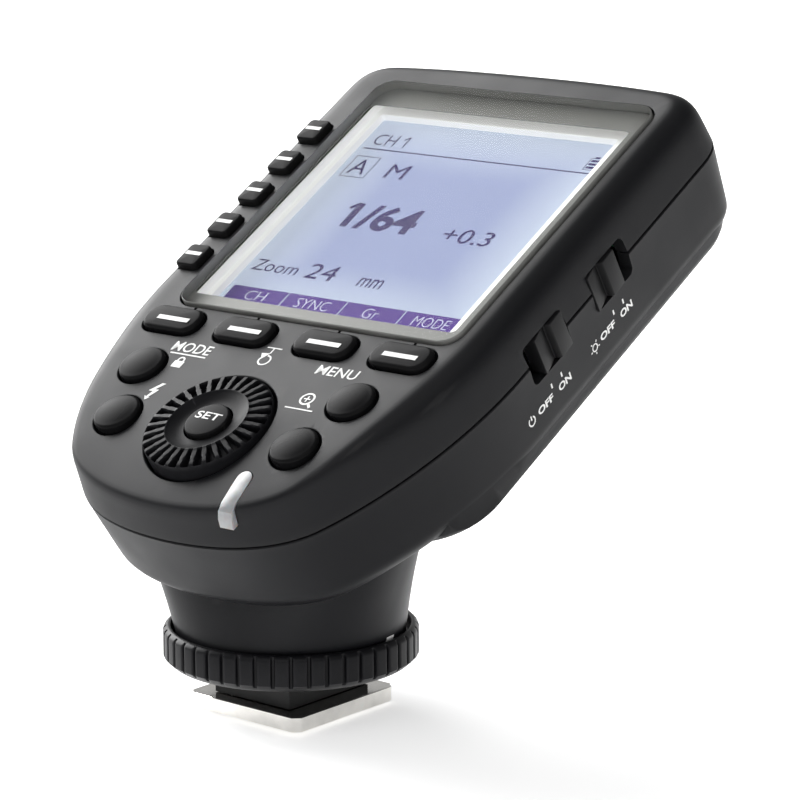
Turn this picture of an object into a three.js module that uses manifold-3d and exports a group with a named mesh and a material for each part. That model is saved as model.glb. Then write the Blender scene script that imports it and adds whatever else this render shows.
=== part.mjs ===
// A wireless flash trigger: a tilted display head on a neck, over a knurled lock ring and a hot-shoe foot.
// Millimetres. Origin: centre of the foot's underside. +Z up, +Y towards the subject, +X the user's right.
// The head has a frame of its own: x across, y from the dial (0) to the far end, z out of the panel.
import * as THREE from "three";
import { mergeVertices } from "three/addons/utils/BufferGeometryUtils.js";
import Module from "manifold-3d";

const wasm = await Module();
wasm.setup();

// ---- Driving dimensions ----
const TILT = THREE.MathUtils.degToRad(30.3); // panel against the foot
const DIAL_CENTRE = new THREE.Vector3(0, -14.4, 38.8); // origin of the head's frame
const HALF_WIDTH = 29.2;
const FRONT_Y = -13.3;
const FAR_Y = 74.5;
const SEAM_TOP = -7.4;
const SEAM_BOTTOM = -7.65;
const SLAB_BOTTOM = -20;
const HOUSING_BOTTOM = -24.5;
const WALL = 1.8;
const ROOF = 2.0;
const DROP_START = 6; // the panel bends down towards the front from here
const DROP_RADIUS = 71;

const LENS = { w: 46.3, h: 48.3, x: 1.25, y: 43.75, r: 2.8, low: -1.1, top: 0.5 };
const OPENING = { w: 43.4, h: 41, x: 0.5, y: 43.15 };
const SCREEN_Y = 44.25; // middle of the LCD
const BOARD = { top: -6.7, bottom: -7.8 };
const FUNCTION = { w: 9.1, h: 4.4, y: 16.2, xs: [-19, -6.7, 6.7, 19], top: 0.95 };
const ROUND = { r: 3.12, top: 1.0, edge: 0.15 };
const ROUND_BUTTONS = {
  mode_button: [-17.4, 7.55],
  test_button: [-14.75, -1.05],
  menu_button: [17.4, 7.55],
  zoom_button: [14.75, -1.05],
};
const GROUP = { w: 3.6, h: 4.2, x: -25, first: 28.1, pitch: 6.84, count: 5, top: 0.9 };
const HOLE_GAP = 0.26; // between a cap and its hole
const DIAL = { r: 9.1, top: 0.75, bottom: -3.5, hub: 3.45, dish: 6.3, ribs: 30 };
const SET = { r: 3.1, top: 1.0 };
const PIPE = { x: 10.6, w: 2.2 };
const SWITCH = { length: 8.5, height: 5.7, z: -7.65, knob: 6.1, throw: 2.2 };
const SWITCH_Y = { power: 29.7, lamp: 44.1 };
const USB = { y: 35, z: -9.75 };
const JACK = { y: 49.5, z: -11 };
const CELL = { r: 7.1, x: 7.4, z: -15.6, near: 19.3, reversed: 18.4, length: 49.2, nub: 1.2 };
const BAY = { half: 15.4, near: 15.5, far: 71.4, floor: -22.95 };
const DOOR = { half: 15.7, near: 24.3, far: 69, thick: 1.5, hinge: 70.2, hingeZ: -23.3, knuckle: 1.2 };
const LATCH = { w: 10, near: 25.9, far: 30.8 };
const SCREW_AT = [[24.4, 64.8], [-24.4, 64.8], [24.4, 21.2], [-24.4, 21.2]];
const RING = { r: 16.15, low: 6.05, top: 10.75, bore: 10, recess: 14.8, floor: 9.1, teeth: 45 };
const NECK = { r: 14.5, low: 9.3, half: 21, front: 13, back: 9, power: 2.3 };
const FOOT = { w: 18.6, l: 18.8, thick: 2, chamfer: 0.9, window: [11, 10.4] };
const BLOCK = { w: 12.6, l: 14.8, top: 6.1 };
const CONTACTS = [[0, 0, 1.05], [-2.9, 3.6, 0.6], [0, 3.6, 0.6], [2.9, 3.6, 0.6]];
const FOOT_SCREWS = [[-3.8, -6.3], [3.8, 6.3]];
const LOCK_PIN = { x: 0, y: -6.5, r: 0.75 };

// ---- Materials ----
const material = (color, roughness, metalness = 0) =>
  new THREE.MeshStandardMaterial({ color, roughness, metalness });
const black = () => material(0x232327, 0.5);
const gloss = () => material(0x1b1b1d, 0.25);
const steel = () => material(0xc9c9c6, 0.25, 1);
const gold = () => material(0xd6b25e, 0.3, 1);
const green = () => material(0x1f5a3c, 0.6);

// ---- Solids ----
function solid(geometry) {
  const bare = geometry.index ? geometry.toNonIndexed() : geometry.clone();
  for (const name of Object.keys(bare.attributes)) if (name !== "position") bare.deleteAttribute(name);
  const merged = mergeVertices(bare, 1e-4);
  return new wasm.Manifold(
    new wasm.Mesh({
      numProp: 3,
      vertProperties: new Float32Array(merged.attributes.position.array),
      triVerts: new Uint32Array(merged.index.array),
    }),
  );
}

function moved(shape, matrix) {
  return shape.transform(matrix.elements);
}

const union = (...shapes) => shapes.reduce((a, b) => a.add(b));
const cut = (shape, ...tools) => tools.reduce((a, b) => a.subtract(b), shape);

function box(low, high) {
  const size = high.map((value, i) => value - low[i]);
  const middle = high.map((value, i) => (value + low[i]) / 2);
  return solid(new THREE.BoxGeometry(...size).translate(...middle));
}

// A cylinder along Z from low to high, with an optional other radius at its top.
function rod(r, low, high, x = 0, y = 0, sides = 32, rTop = r) {
  const body = new THREE.CylinderGeometry(rTop, r, high - low, sides);
  return solid(body.rotateX(Math.PI / 2).translate(x, y, (low + high) / 2));
}

// A cylinder along X or Y.
function rodX(r, low, high, y, z, sides = 24) {
  const body = new THREE.CylinderGeometry(r, r, high - low, sides);
  return solid(body.rotateZ(Math.PI / 2).translate((low + high) / 2, y, z));
}
function rodY(r, low, high, x, z, sides = 24) {
  return solid(new THREE.CylinderGeometry(r, r, high - low, sides).translate(x, (low + high) / 2, z));
}

function prism(shape, low, high, segments = 8) {
  const body = new THREE.ExtrudeGeometry(shape, {
    depth: high - low,
    bevelEnabled: false,
    curveSegments: segments,
  });
  return solid(body.translate(0, 0, low));
}

// An outline in (y, z), extruded along X.
function prismX(points, low, high) {
  const outline = new THREE.Shape(points.map(([y, z]) => new THREE.Vector2(y, z)));
  const turn = new THREE.Matrix4().makeBasis(
    new THREE.Vector3(0, 1, 0),
    new THREE.Vector3(0, 0, 1),
    new THREE.Vector3(1, 0, 0),
  );
  return moved(prism(outline, low, high), turn);
}

// An outline in (x, z), extruded along Y.
function prismY(points, low, high) {
  const outline = new THREE.Shape(points.map(([x, z]) => new THREE.Vector2(x, z)));
  const turn = new THREE.Matrix4().makeBasis(
    new THREE.Vector3(1, 0, 0),
    new THREE.Vector3(0, 0, 1),
    new THREE.Vector3(0, -1, 0),
  );
  return moved(prism(outline, -high, -low), turn);
}

function roundedRectangle(w, h, r, x = 0, y = 0) {
  const shape = new THREE.Shape();
  const [a, b] = [w / 2, h / 2];
  shape.moveTo(x - a + r, y - b);
  shape.absarc(x + a - r, y - b + r, r, -Math.PI / 2, 0, false);
  shape.absarc(x + a - r, y + b - r, r, 0, Math.PI / 2, false);
  shape.absarc(x - a + r, y + b - r, r, Math.PI / 2, Math.PI, false);
  shape.absarc(x - a + r, y - b + r, r, Math.PI, 1.5 * Math.PI, false);
  return shape;
}

const roundedBlock = (w, h, r, x, y, low, high, segments = 4) =>
  prism(roundedRectangle(w, h, r, x, y), low, high, segments);

// A closed skin over rings of equal length, listed from the bottom up, each anticlockwise from above.
function loft(rings, bottomCentre, topCentre) {
  const count = rings[0].length;
  const vertices = [...rings.flat(), bottomCentre, topCentre];
  const [bottom, top] = [vertices.length - 2, vertices.length - 1];
  const faces = [];
  for (let i = 0; i < count; i++) {
    const j = (i + 1) % count;
    for (let k = 0; k + 1 < rings.length; k++) {
      const [a, b] = [k * count, (k + 1) * count];
      faces.push(a + i, a + j, b + j, a + i, b + j, b + i);
    }
    const last = (rings.length - 1) * count;
    faces.push(bottom, j, i, top, last + i, last + j);
  }
  const geometry = new THREE.BufferGeometry();
  geometry.setAttribute("position", new THREE.Float32BufferAttribute(vertices.flatMap((p) => [...p]), 3));
  return solid(geometry.setIndex(faces));
}

// A wire of the given radius along a curve.
function wire(curve, r, steps, sides = 4) {
  const section = new THREE.Shape();
  section.absarc(0, 0, r, 0, 2 * Math.PI, false);
  return solid(
    new THREE.ExtrudeGeometry(section, { extrudePath: curve, steps, curveSegments: sides / 2 }),
  );
}

class Helix extends THREE.Curve {
  constructor(r0, r1, turns, length) {
    super();
    Object.assign(this, { r0, r1, turns, length });
  }
  getPoint(t, target = new THREE.Vector3()) {
    const angle = 2 * Math.PI * this.turns * t;
    const r = this.r0 + (this.r1 - this.r0) * t;
    return target.set(r * Math.cos(angle), this.length * t, r * Math.sin(angle));
  }
}

// ---- The head's outline, seen along the panel's normal ----
const point = (x, y) => new THREE.Vector2(x, y);
const [SIDE_START, SIDE_END] = [point(HALF_WIDTH, 24), point(HALF_WIDTH, 66.7)];
const CORNER = point(19.5, -7.2);
const RIGHT_HALF = [
  [new THREE.CubicBezierCurve(point(0, FRONT_Y), point(9, FRONT_Y), point(16.2, -11.2), CORNER), 5],
  [new THREE.CubicBezierCurve(CORNER, point(23.6, -1.8), point(HALF_WIDTH, 10), SIDE_START), 5],
  [new THREE.LineCurve(SIDE_START, SIDE_END), 2],
  [new THREE.CubicBezierCurve(SIDE_END, point(HALF_WIDTH, 70.9), point(27, 73.4), point(22.5, 73.8)), 4],
  [new THREE.CubicBezierCurve(point(22.5, 73.8), point(15, 74.4), point(8, FAR_Y), point(0, FAR_Y)), 2],
];

function headOutline() {
  const right = [];
  for (const [curve, steps] of RIGHT_HALF)
    for (let i = 0; i < steps; i++) {
      const tangent = curve.getTangent(i / steps);
      right.push({ at: curve.getPoint(i / steps), out: point(tangent.y, -tangent.x) });
    }
  const left = right
    .slice(1)
    .reverse()
    .map(({ at, out }) => ({ at: point(-at.x, at.y), out: point(-out.x, out.y) }));
  return [...right, { at: point(0, FAR_Y), out: point(0, 1) }, ...left];
}
const OUTLINE = headOutline();

const smooth = (low, high, value) => THREE.MathUtils.smoothstep(value, low, high);
const frontness = (y) => 1 - smooth(-9, 12, y); // 1 at the dial's end, 0 along the sides
const drop = (y) => (y < DROP_START ? (DROP_START - y) ** 2 / (2 * DROP_RADIUS) : 0);

// One ring of the head: inset from the outline, at height z, sinking with the panel where weight is 1.
function headRing(sideInset, frontInset, z, weight = 0) {
  return OUTLINE.map(({ at, out }) => {
    const inset = THREE.MathUtils.lerp(sideInset, frontInset, frontness(at.y));
    const [x, y] = [at.x - out.x * inset, at.y - out.y * inset];
    return new THREE.Vector3(x, y, z - weight * drop(y));
  });
}

// Rings that close a panel: the last ring drawn in towards a middle point, following the bend.
function panelRings(ring, z) {
  return [0.12, 0.26, 0.42].map((t) =>
    ring.map((p) => {
      const y = THREE.MathUtils.lerp(p.y, 30, t);
      return new THREE.Vector3(p.x * (1 - t), y, z - drop(y));
    }),
  );
}

const middle = (z) => new THREE.Vector3(0, 30, z);

function upperShell() {
  const levels = [
    [0, 0, SEAM_TOP],
    [0.45, 0.45, -3.5],
    [0.95, 0.65, -1.75],
    [1.75, 0.85, -0.75],
    [2.8, 1.2, -0.18],
    [3.9, 1.9, 0],
  ];
  const rings = levels.map(([side, front, z]) => headRing(side, front, z, 1 - z / SEAM_TOP));
  return loft([...rings, ...panelRings(rings.at(-1), 0)], middle(SEAM_TOP), middle(0));
}

function upperCavity() {
  const levels = [
    [WALL, WALL, SEAM_TOP - 0.5],
    [WALL + 0.6, WALL + 0.5, -ROOF - 1.6],
    [WALL + 1.9, WALL + 1.3, -ROOF],
  ];
  const sink = (z) => Math.max(0, 1 - z / SEAM_TOP);
  const rings = levels.map(([side, front, z]) => headRing(side, front, z, sink(z)));
  const top = rings.at(-1).map((p) => new THREE.Vector3(p.x, p.y, -ROOF - drop(p.y)));
  rings[rings.length - 1] = top;
  return loft([...rings, ...panelRings(top, -ROOF)], middle(SEAM_TOP - 0.5), middle(-ROOF));
}

const buttonHole = (w, h, x, y, r, low = -6) =>
  roundedBlock(w + 2 * HOLE_GAP, h + 2 * HOLE_GAP, r + HOLE_GAP, x, y, low, 3, 2);
const groupY = (i) => GROUP.first + i * GROUP.pitch;

function switchWindow(y) {
  const shape = roundedRectangle(SWITCH.length, SWITCH.height, 0.3);
  const turn = new THREE.Matrix4().makeBasis(
    new THREE.Vector3(0, 1, 0),
    new THREE.Vector3(0, 0, 1),
    new THREE.Vector3(1, 0, 0),
  );
  return moved(prism(shape, 24, 32, 1), turn).translate([0, y, SWITCH.z]);
}

// The status light pipe's side outline, grown by gap: along the panel, then down the front wall.
function pipeOutline(gap) {
  return [
    [-5.6 + gap, -2.1 - gap],
    [-5.6 + gap, -0.85 + gap],
    [-8, -1.32 + gap],
    [-10.2, -1.8 + gap],
    [-11.35 - gap, -2.35 + gap],
    [-11.85 - gap, -3.2],
    [-12.35 - gap, -5.4 - gap],
    [-11.2 + gap, -5.4 - gap],
    [-10.8 + gap, -3.7 - gap],
    [-9.7, -3.1 - gap],
  ];
}

function upperCase() {
  let shell = cut(upperShell(), upperCavity());
  for (const [x, y] of SCREW_AT) shell = union(shell, rod(2.1, -7.3, -ROOF + 0.6, x, y, 16));
  for (const [x, y] of SCREW_AT) shell = cut(shell, rod(1.1, -8, -3.1, x, y, 12));
  const holes = [
    roundedBlock(LENS.w + 0.5, LENS.h + 0.5, LENS.r + 0.2, LENS.x, LENS.y, LENS.low - 0.15, 3),
    roundedBlock(OPENING.w, OPENING.h, 0.8, OPENING.x, OPENING.y, -6, 3),
    ...FUNCTION.xs.map((x) => buttonHole(FUNCTION.w, FUNCTION.h, x, FUNCTION.y, 1.9)),
    ...Object.values(ROUND_BUTTONS).map(([x, y]) => rod(ROUND.r + HOLE_GAP, -7, 3, x, y, 20)),
    rod(DIAL.r + 0.35, -7.2, 3, 0, 0, 36),
    prismX(pipeOutline(0.12), PIPE.x - PIPE.w / 2 - 0.12, PIPE.x + PIPE.w / 2 + 0.12),
    switchWindow(SWITCH_Y.power),
    switchWindow(SWITCH_Y.lamp),
  ];
  for (let i = 0; i < GROUP.count; i++) {
    holes.push(roundedBlock(GROUP.w + 0.4, GROUP.h + 0.4, 0.9, GROUP.x, groupY(i), -1.95, 3, 1));
    holes.push(roundedBlock(2.4, 2.6, 0.5, GROUP.x, groupY(i), -6, 0, 1));
  }
  return cut(shell, ...holes);
}

// ---- Lower case: slab, battery housing and neck ----
function slab() {
  const levels = [
    [4.4, SLAB_BOTTOM],
    [3.6, -19.8],
    [2.7, -19.3],
    [1.7, -18.4],
    [0.95, -17.2],
    [0.7, -15.5],
    [0, SEAM_BOTTOM],
  ];
  const rings = levels.map(([inset, z]) => headRing(inset, inset, z));
  return loft(rings, middle(SLAB_BOTTOM), middle(SEAM_BOTTOM));
}

function slabCavity() {
  const levels = [
    [5.2, -18.2],
    [3.4, -17.4],
    [WALL + 0.8, -15.5],
    [WALL, SEAM_BOTTOM + 1],
  ];
  return loft(levels.map(([inset, z]) => headRing(inset, inset, z)), middle(-18.2), middle(SEAM_BOTTOM + 1));
}

// The deeper middle of the underside, chamfered along both sides and drawn in towards its bottom.
function housing() {
  const section = prismY(
    [
      [-28.25, -16],
      [-28.25, -19.5],
      [-23.1, -24.2],
      [-21.7, HOUSING_BOTTOM],
      [21.7, HOUSING_BOTTOM],
      [23.1, -24.2],
      [28.25, -19.5],
      [28.25, -16],
    ],
    0,
    80,
  );
  const side = prismX(
    [
      [4, -16],
      [5, -19.3],
      [7.2, -21.4],
      [9.8, -23.1],
      [12.6, -24.2],
      [15.6, HOUSING_BOTTOM],
      [71.4, HOUSING_BOTTOM],
      [72.4, -24.1],
      [73, -23.2],
      [73.6, -16],
    ],
    -40,
    40,
  );
  const taper = [
    [2.4, -25],
    [1.6, -22.5],
    [0.95, -19.5],
    [0.95, -10],
  ];
  const plan = loft(taper.map(([inset, z]) => headRing(inset, inset, z)), middle(-25), middle(-10));
  return section.intersect(side).intersect(plan);
}

// From the head's frame to the foot's.
const HEAD = new THREE.Matrix4()
  .makeTranslation(...DIAL_CENTRE)
  .multiply(new THREE.Matrix4().makeRotationX(TILT));

// The height of the head's plane z = level over the world point with this y.
function planeHeight(level, y) {
  const along = (y - DIAL_CENTRE.y + level * Math.sin(TILT)) / Math.cos(TILT);
  return DIAL_CENTRE.z + along * Math.sin(TILT) + level * Math.cos(TILT);
}

// The neck grows from a circle over the ring to a wide oval under the head. grow moves its wall outwards.
function neck(grow, low, topLevel) {
  const sides = 36;
  const steps = 3;
  const rings = [];
  const signedPower = (value) => Math.sign(value) * Math.abs(value) ** (2 / NECK.power);
  for (let k = 0; k <= steps; k++) {
    const t = k / steps;
    const ring = [];
    for (let i = 0; i < sides; i++) {
      const angle = (2 * Math.PI * i) / sides;
      const [c, s] = [Math.cos(angle), Math.sin(angle)];
      const depth = (s < 0 ? NECK.front : NECK.back) + grow;
      const top = point((NECK.half + grow) * signedPower(c), depth * signedPower(s));
      const bottom = point((NECK.r + grow) * c, (NECK.r + grow) * s);
      const flare = t ** 1.15;
      const at = bottom.lerp(top, flare);
      ring.push(new THREE.Vector3(at.x, at.y, THREE.MathUtils.lerp(low, planeHeight(topLevel, top.y), t)));
    }
    rings.push(ring);
  }
  return loft(rings, new THREE.Vector3(0, 0, low), new THREE.Vector3(0, 0, planeHeight(topLevel, 0)));
}

// The focus lamp's window in the back wall of the neck.
function lampPrism(grow) {
  const shape = roundedRectangle(15 + 2 * grow, 7.6 + 2 * grow, 2, 0, 18);
  const turn = new THREE.Matrix4().makeBasis(
    new THREE.Vector3(-1, 0, 0),
    new THREE.Vector3(0, 0, 1),
    new THREE.Vector3(0, 1, 0),
  );
  return moved(prism(shape, 4, 22, 4), turn);
}

const backHalf = (shape) => shape.intersect(box([-30, 3, 0], [30, 40, 60]));

function lowerCase() {
  const toHead = HEAD.clone().invert();
  const stem = union(neck(0, NECK.low, -18.6), rod(9.87, 6.2, NECK.low + 0.3, 0, 0, 36));
  let body = union(slab(), housing(), moved(stem, toHead));
  body = cut(body, moved(neck(-2.2, NECK.low + 1.7, -17.4), toHead));
  const rib = (side) => box([side * 16 - 0.6, 16, -19], [side * 16 + 0.6, 71.9, -9]);
  const nearWall = box([-16.6, 14.2, -19], [16.6, BAY.near, -9]);
  body = cut(body, cut(slabCavity(), rib(-1), rib(1), nearWall));
  body = cut(body, box([-BAY.half, BAY.near, BAY.floor], [BAY.half, BAY.far, -5]));
  for (const [x, y] of SCREW_AT) body = union(body, rod(2.9, -18, -8.2, x, y, 16));
  const ear = (side) => box([side * 14.3 - 1.15, 69.1, -24.2], [side * 14.3 + 1.15, 72, -21.8]);
  body = union(body, ear(-1), ear(1));
  for (const [x, y] of SCREW_AT)
    body = cut(body, rod(2.15, -26, -16.5, x, y, 20), rod(1.1, -17, -7, x, y, 12));
  body = cut(
    body,
    box([-DOOR.half - 0.2, DOOR.near - 0.3, -26], [DOOR.half + 0.2, DOOR.far, BAY.floor + 0.5]),
    box([-13.1, 68, -26], [13.1, 71.6, -21.7]),
    rodX(0.8, -15.3, 15.3, DOOR.hinge, DOOR.hingeZ, 16),
    box([-2.8, 23.1, -26], [2.8, DOOR.near, -23.2]),
    switchWindow(SWITCH_Y.power),
    switchWindow(SWITCH_Y.lamp),
    roundedBlock(9.4, 3.6, 1.7, 0, 0, -6, 6)
      .rotate([90, 0, 90])
      .translate([-28, USB.y, USB.z]),
    rodX(3, -32, -24, JACK.y, JACK.z),
  );
  return cut(moved(body, HEAD), rod(4, 5, 13, 0, 0, 20), backHalf(lampPrism(0.2)));
}

// ---- Inside and on the head ----
function functionButton(x) {
  const cap = union(
    roundedBlock(FUNCTION.w, FUNCTION.h, 1.9, x, FUNCTION.y, -2.4, FUNCTION.top - 0.35, 2),
    roundedBlock(FUNCTION.w - 0.7, FUNCTION.h - 0.7, 1.55, x, FUNCTION.y, 0, FUNCTION.top, 2),
  );
  return union(cap, roundedBlock(FUNCTION.w + 0.9, FUNCTION.h + 0.9, 1, x, FUNCTION.y, -2.9, -2.2, 1));
}

// Domed cap with a flange under the panel.
function roundButton([x, y]) {
  const { r } = ROUND;
  const [crown, edge, low] = [ROUND.top - drop(y), ROUND.edge - drop(y), -3.2 - drop(y - r)];
  const profile = [[0, low], [r + 0.45, low], [r + 0.45, low + 0.6], [r, low + 0.6], [r, edge]];
  for (let i = 1; i <= 3; i++) {
    const a = (i / 4) * (Math.PI / 2);
    profile.push([r * Math.cos(a) ** 0.8, edge + (crown - edge) * Math.sin(a)]);
  }
  profile.push([0, crown]);
  const body = new THREE.LatheGeometry(profile.map(([a, b]) => point(a, b)), 20);
  return solid(body.rotateX(Math.PI / 2).translate(x, y, 0));
}

function groupButton(i) {
  const y = groupY(i);
  return union(
    roundedBlock(GROUP.w, GROUP.h, 0.7, GROUP.x, y, -1, GROUP.top - 0.35, 1),
    roundedBlock(GROUP.w - 0.6, GROUP.h - 0.6, 0.5, GROUP.x, y, 0, GROUP.top, 1),
    roundedBlock(2, 2.2, 0.4, GROUP.x, y, -3, -0.5, 1),
  );
}

function controlDial() {
  const { r, top, bottom, hub, dish } = DIAL;
  const profile = [[2.5, bottom], [r, bottom], [r, top - 0.4], [r - 0.4, top - 0.05], [dish, top - 0.25]];
  for (let i = 1; i <= 2; i++) {
    const t = i / 2;
    profile.push([dish - t * (dish - hub), top - 0.25 - 0.75 * Math.sin(t * Math.PI * 0.5)]);
  }
  profile.push([hub, -1.9], [2.5, -1.9], [2.5, bottom]);
  let body = solid(
    new THREE.LatheGeometry(profile.map(([a, b]) => point(a, b)), DIAL.ribs).rotateX(Math.PI / 2),
  );
  for (let i = 0; i < DIAL.ribs; i++) {
    const groove = box([dish + 0.35, -0.2, top - 0.55], [r + 1, 0.2, top + 1]);
    body = cut(body, groove.rotate([0, 0, (360 / DIAL.ribs) * (i + 0.5)]));
  }
  return body;
}

function setButton() {
  const profile = [[0, -5.4], [2.2, -5.4], [2.2, -1], [SET.r, -1], [SET.r, 0.4], [2.3, 0.82], [0, SET.top]];
  return solid(new THREE.LatheGeometry(profile.map(([a, b]) => point(a, b)), 20).rotateX(Math.PI / 2));
}

function displayBezel() {
  const frame = roundedBlock(44.4, 43.4, 1, 0, SCREEN_Y, -3.2, -2.25, 3);
  return cut(frame, box([-20.1, 23.8, -5], [19.6, 63.55, 0]));
}

function mainBoard() {
  const ring = (z) => headRing(2.7, 2.9, z);
  let board = loft([ring(BOARD.bottom), ring(BOARD.top)], middle(BOARD.bottom), middle(BOARD.top));
  for (const [x, y] of SCREW_AT) board = cut(board, rod(2.5, -9, -5, x, y, 16));
  return cut(board, box([19.4, 24.5, -9], [30, 49.5, -5]));
}

function keypad() {
  const [low, top] = [-5.2, -4.7];
  const sheet = loft([headRing(3.8, 3.8, low), headRing(3.8, 3.8, top)], middle(low), middle(top));
  return cut(sheet.intersect(box([-30, -8, -6], [30, 18.6, -4])), rod(DIAL.r + 0.6, -6, -4, 0, 0, 30));
}

function encoder() {
  return cut(rod(7.6, -6.4, -3.8, 0, 0, 32), rod(2.6, -7, -3, 0, 0, 20));
}

function switchKnob(y, at) {
  const half = SWITCH.knob / 2;
  const [low, high] = [y + at - half, y + at + half];
  const centre = (low + high) / 2;
  const faces = [
    [26.9, low],
    [29.35, low],
    [28.5, centre - 0.05],
    [29.45, centre + 0.25],
    [29.25, high],
    [26.9, high],
  ];
  const outline = new THREE.Shape(faces.map(([x, along]) => point(x, along)));
  const rise = SWITCH.height / 2 - 0.2;
  const knob = prism(outline, SWITCH.z - rise, SWITCH.z + rise);
  return union(knob, box([25.5, low + 1.6, SWITCH.z - 1.4], [27, high - 1.6, SWITCH.z + 1.4]));
}

const switchBody = (y) => box([20.2, y - 4.6, -10.8], [25.2, y + 4.6, -6.55]);

function radioBoard() {
  const board = box([-9, -6.5, -12.6], [9, 11.5, -11.8]);
  const shield = box([-5.5, -4, -11.9], [5.5, 7, -10.2]);
  return union(board, shield);
}

function cell(x, forward) {
  const { r, z, near, reversed, length, nub } = CELL;
  const start = forward ? near : reversed;
  const body = rodY(r, start, start + length, x, z, 40);
  const tip = forward ? [start + length - 0.1, start + length + nub] : [start - nub, start + 0.1];
  return union(body, rodY(2.75, tip[0], tip[1], x, z, 20));
}

// A conical contact spring on a small plate, at the near wall (grows towards +Y) or the far wall.
function cellSpring(x, near) {
  const coil = wire(new Helix(4.2, 2.2, 2.5, 2.6), 0.32, 24);
  const plate = box([-5, -0.4, -5], [5, 0.1, 5]);
  const facing = near ? 0 : 180;
  const y = near ? BAY.near + 0.55 : BAY.far - 0.55;
  return union(coil, plate).rotate([0, 0, facing]).translate([x, y, CELL.z]);
}

const cellPlate = (x, y) => box([x - 5, y - 0.2, CELL.z - 5], [x + 5, y + 0.2, CELL.z + 5]);

function batteryDoor() {
  const { half, near, hinge, hingeZ, knuckle, thick } = DOOR;
  const low = HOUSING_BOTTOM + 0.02;
  let door = box([-half, near, low], [half, 68.4, low + thick]);
  door = union(door, box([-12.8, 68, low], [12.8, hinge, hingeZ + 0.4]));
  door = union(door, rodX(knuckle, -12.8, 12.8, hinge, hingeZ, 24));
  const pocket = box([-LATCH.w / 2 - 0.3, LATCH.near - 0.3, low - 1], [LATCH.w / 2 + 0.3, 33, low + 1.05]);
  const slot = box([-2.8, near - 1, low - 1], [2.8, LATCH.near, low + 1.05]);
  return cut(door, rodX(0.8, -14, 14, hinge, hingeZ, 16), pocket, slot);
}

function doorLatch() {
  const low = HOUSING_BOTTOM + 0.1;
  let slider = union(
    box([-LATCH.w / 2, LATCH.near, low], [LATCH.w / 2, LATCH.far, low + 0.85]),
    box([-2.5, 23.5, low], [2.5, LATCH.near + 0.5, low + 0.85]),
  );
  for (let i = 0; i < 4; i++) {
    const y = LATCH.near + 0.8 + i * 1.1;
    slider = cut(slider, box([-LATCH.w / 2 + 0.8, y, low - 1], [LATCH.w / 2 - 0.8, y + 0.45, low + 0.3]));
  }
  return slider;
}

function caseScrew([x, y]) {
  const screw = union(rod(1.85, -17.9, -16.6, x, y, 20), rod(1.0, -17, -3.4, x, y, 12));
  const slotA = box([x - 1.2, y - 0.2, -19], [x + 1.2, y + 0.2, -17.3]);
  const slotB = box([x - 0.2, y - 1.2, -19], [x + 0.2, y + 1.2, -17.3]);
  return cut(screw, slotA, slotB);
}

function usbSocket() {
  const shell = roundedBlock(8.9, 3.1, 1.5, 0, 0, 0, 6.6);
  const mouth = roundedBlock(8.3, 2.5, 1.2, 0, 0, -1, 5.8);
  const tongue = roundedBlock(6.6, 0.7, 0.2, 0, 0, 0.6, 6, 2);
  return union(cut(shell, mouth), tongue).rotate([90, 0, 90]).translate([-28.5, USB.y, USB.z]);
}

function syncJack() {
  const { y, z } = JACK;
  const body = union(rodX(2.7, -28.3, -25, y, z), box([-25.6, y - 3, z - 2.6], [-18.4, y + 3, z + 2.6]));
  return cut(body, rodX(1.3, -30, -19.4, y, z, 20));
}

// ---- Neck, ring and foot ----
function lampWindow() {
  const outer = neck(0.5, NECK.low, -18.6);
  const inner = neck(-1.3, NECK.low - 1, -17);
  return backHalf(lampPrism(0)).intersect(outer).subtract(inner);
}

function lampLed() {
  return union(rodY(1.5, 2, 7.2, 0, 18, 20), rodY(1.9, 2, 3, 0, 18, 20));
}

function lockRing() {
  const { r, low, top, teeth } = RING;
  const outline = new THREE.Shape();
  for (let i = 0; i < teeth; i++) {
    const pitch = (2 * Math.PI) / teeth;
    const corners = [[0.06, r - 0.55], [0.2, r], [0.74, r], [0.88, r - 0.55]];
    corners.forEach(([t, radius], k) => {
      const a = (i + t) * pitch;
      const [x, y] = [radius * Math.cos(a), radius * Math.sin(a)];
      if (i === 0 && k === 0) outline.moveTo(x, y);
      else outline.lineTo(x, y);
    });
  }
  return cut(
    prism(outline, low, top),
    rod(RING.bore, 0, 20, 0, 0, 36),
    rod(RING.recess, RING.floor, top + 0.5, 0, 0, 45, RING.recess + 0.45),
  );
}

function pressurePlate() {
  const hole = box([-BLOCK.w / 2 - 0.2, -BLOCK.l / 2 - 0.2, 0], [BLOCK.w / 2 + 0.2, BLOCK.l / 2 + 0.2, 20]);
  return cut(rod(11.5, 5.35, 5.95, 0, 0, 48), hole);
}

function footPlate() {
  const [w, l, c] = [FOOT.w / 2, FOOT.l / 2, FOOT.chamfer];
  const corners = [[w - c, -l], [w, -l + c], [w, l - c], [w - c, l]];
  const mirrored = corners.map(([x, y]) => [-x, y]).reverse();
  const outline = new THREE.Shape([...corners, ...mirrored].map(([x, y]) => point(x, y)));
  const [a, b] = FOOT.window.map((size) => size / 2);
  const tools = [box([-a, -b, -1], [a, b, 3]), rod(LOCK_PIN.r + 0.15, -1, 3, LOCK_PIN.x, LOCK_PIN.y, 16)];
  for (const [x, y] of FOOT_SCREWS) tools.push(rod(1.25, -1, 1.05, x, y, 20), rod(0.85, 0, 3, x, y, 12));
  return cut(prism(outline, 0, FOOT.thick), ...tools);
}

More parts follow.
